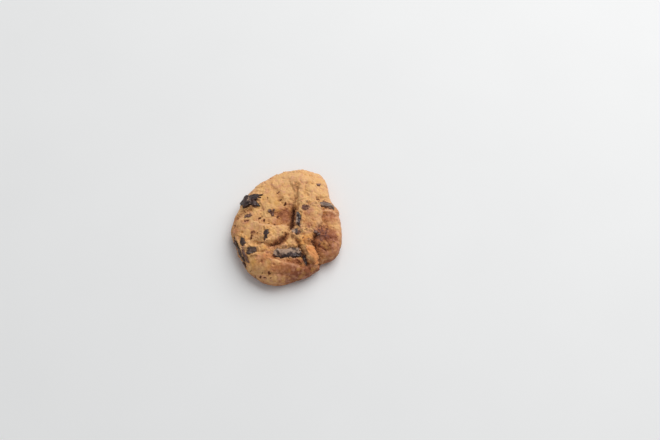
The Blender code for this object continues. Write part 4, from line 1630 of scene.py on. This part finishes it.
# %% Scatter the crumbs
def scatter(name, recipe, ground, finish, slot, **inputs):
    """Runs the recipe on the ground and keeps what it makes as one piece."""
    holder = bpy.data.objects.new("holder", ground)
    scene.collection.objects.link(holder)
    modifier = holder.modifiers.new("scatter", "NODES")
    modifier.node_group = recipe
    sockets = {item.name: item.identifier for item in recipe.interface.items_tree}
    for label, value in inputs.items():
        modifier[sockets[label]] = value
    modifier[sockets["Finish"]] = finish
    graph = bpy.context.evaluated_depsgraph_get()
    mesh = bpy.data.meshes.new_from_object(holder.evaluated_get(graph))
    holder.modifiers.remove(modifier)
    bpy.data.objects.remove(holder)
    mesh.shade_smooth()
    piece = new_piece(name, mesh, finish)
    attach(piece, "root")
    print(name, len(mesh.polygons), "facets")


scatter(
    "loose_crumbs", recipe, skin_mesh, baked_dough, "baked_dough",
    **{
        "Kinds": dough_crumbs,
        "Mask": "crumbly",
        "Number per square metre": 1.1e6,
        "Gap": 0.5 * MM,
        "Smallest": 0.35,
        "Largest": 1.25,
        "Seed": 3,
    },
)
scatter(
    "chocolate_dust", recipe, skin_mesh, chocolate, "dark_chocolate",
    **{
        "Kinds": chocolate_crumbs,
        "Mask": "dusty",
        "Number per square metre": 7e5,
        "Gap": 0.4 * MM,
        "Smallest": 0.25,
        "Largest": 0.8,
        "Seed": 11,
    },
)

# %% [markdown]
# ## The floor
#
# The ground in the photograph is plain and nearly white. A real studio curves a sheet of paper up
# behind the object. Seen from so high, a flat sheet much wider than the picture does as well, and a
# faint mottle keeps it from looking like an empty page.

# %% Lay the floor
FLOOR_SIZE = 6.0
FLOOR_ROUGHNESS = 0.6
FLOOR_TONES = (paint(238, 238, 237), paint(242, 242, 241))

sheet = bmesh.new()
bmesh.ops.create_grid(sheet, x_segments=1, y_segments=1, size=FLOOR_SIZE / 2)
pale_floor, floor_shader, floor_place = new_finish("pale_floor")
connect(mottle(floor_place, 60, 2.0).mix(*FLOOR_TONES), floor_shader, "Base Color")
floor_shader.inputs["Roughness"].default_value = FLOOR_ROUGHNESS
floor = new_piece("floor", mesh_from(sheet, "floor"), pale_floor)
print("the floor is", FLOOR_SIZE, "m wide")

# %% [markdown]
# ## Light
#
# The light in the photograph is soft and comes from above and behind. A small lamp would give
# hard shadows in every crevice. One large softbox behind the cookie lights the crown and lets the
# front fall into soft shade, and the world's pale light fills the shadows.

# %% Set the light
SOFTBOX_PLACE = Vector((0.75, 0.8, 1.3))
SOFTBOX_SIZE = 1.7
SOFTBOX_POWER = 27.6
WORLD_STRENGTH = 0.35
WORLD_COLOUR = (0.95, 0.97, 1.0, 1.0)


def set_softbox():
    light = bpy.data.lights.new("softbox", "AREA")
    light.shape = "SQUARE"
    light.size = SOFTBOX_SIZE
    light.energy = SOFTBOX_POWER
    softbox = bpy.data.objects.new("softbox", light)
    softbox.location = SOFTBOX_PLACE
    softbox.rotation_mode = "QUATERNION"
    softbox.rotation_quaternion = (-SOFTBOX_PLACE).to_track_quat("-Z", "Y")
    scene.collection.objects.link(softbox)


def set_world():
    world = bpy.data.worlds.new("studio")
    world.use_nodes = True
    background = world.node_tree.nodes["Background"]
    background.inputs["Color"].default_value = WORLD_COLOUR
    background.inputs["Strength"].default_value = WORLD_STRENGTH
    scene.world = world


set_softbox()
set_world()
scene.view_settings.view_transform = "Standard"
print("softbox", SOFTBOX_POWER, "W, world", WORLD_STRENGTH)

# %% [markdown]
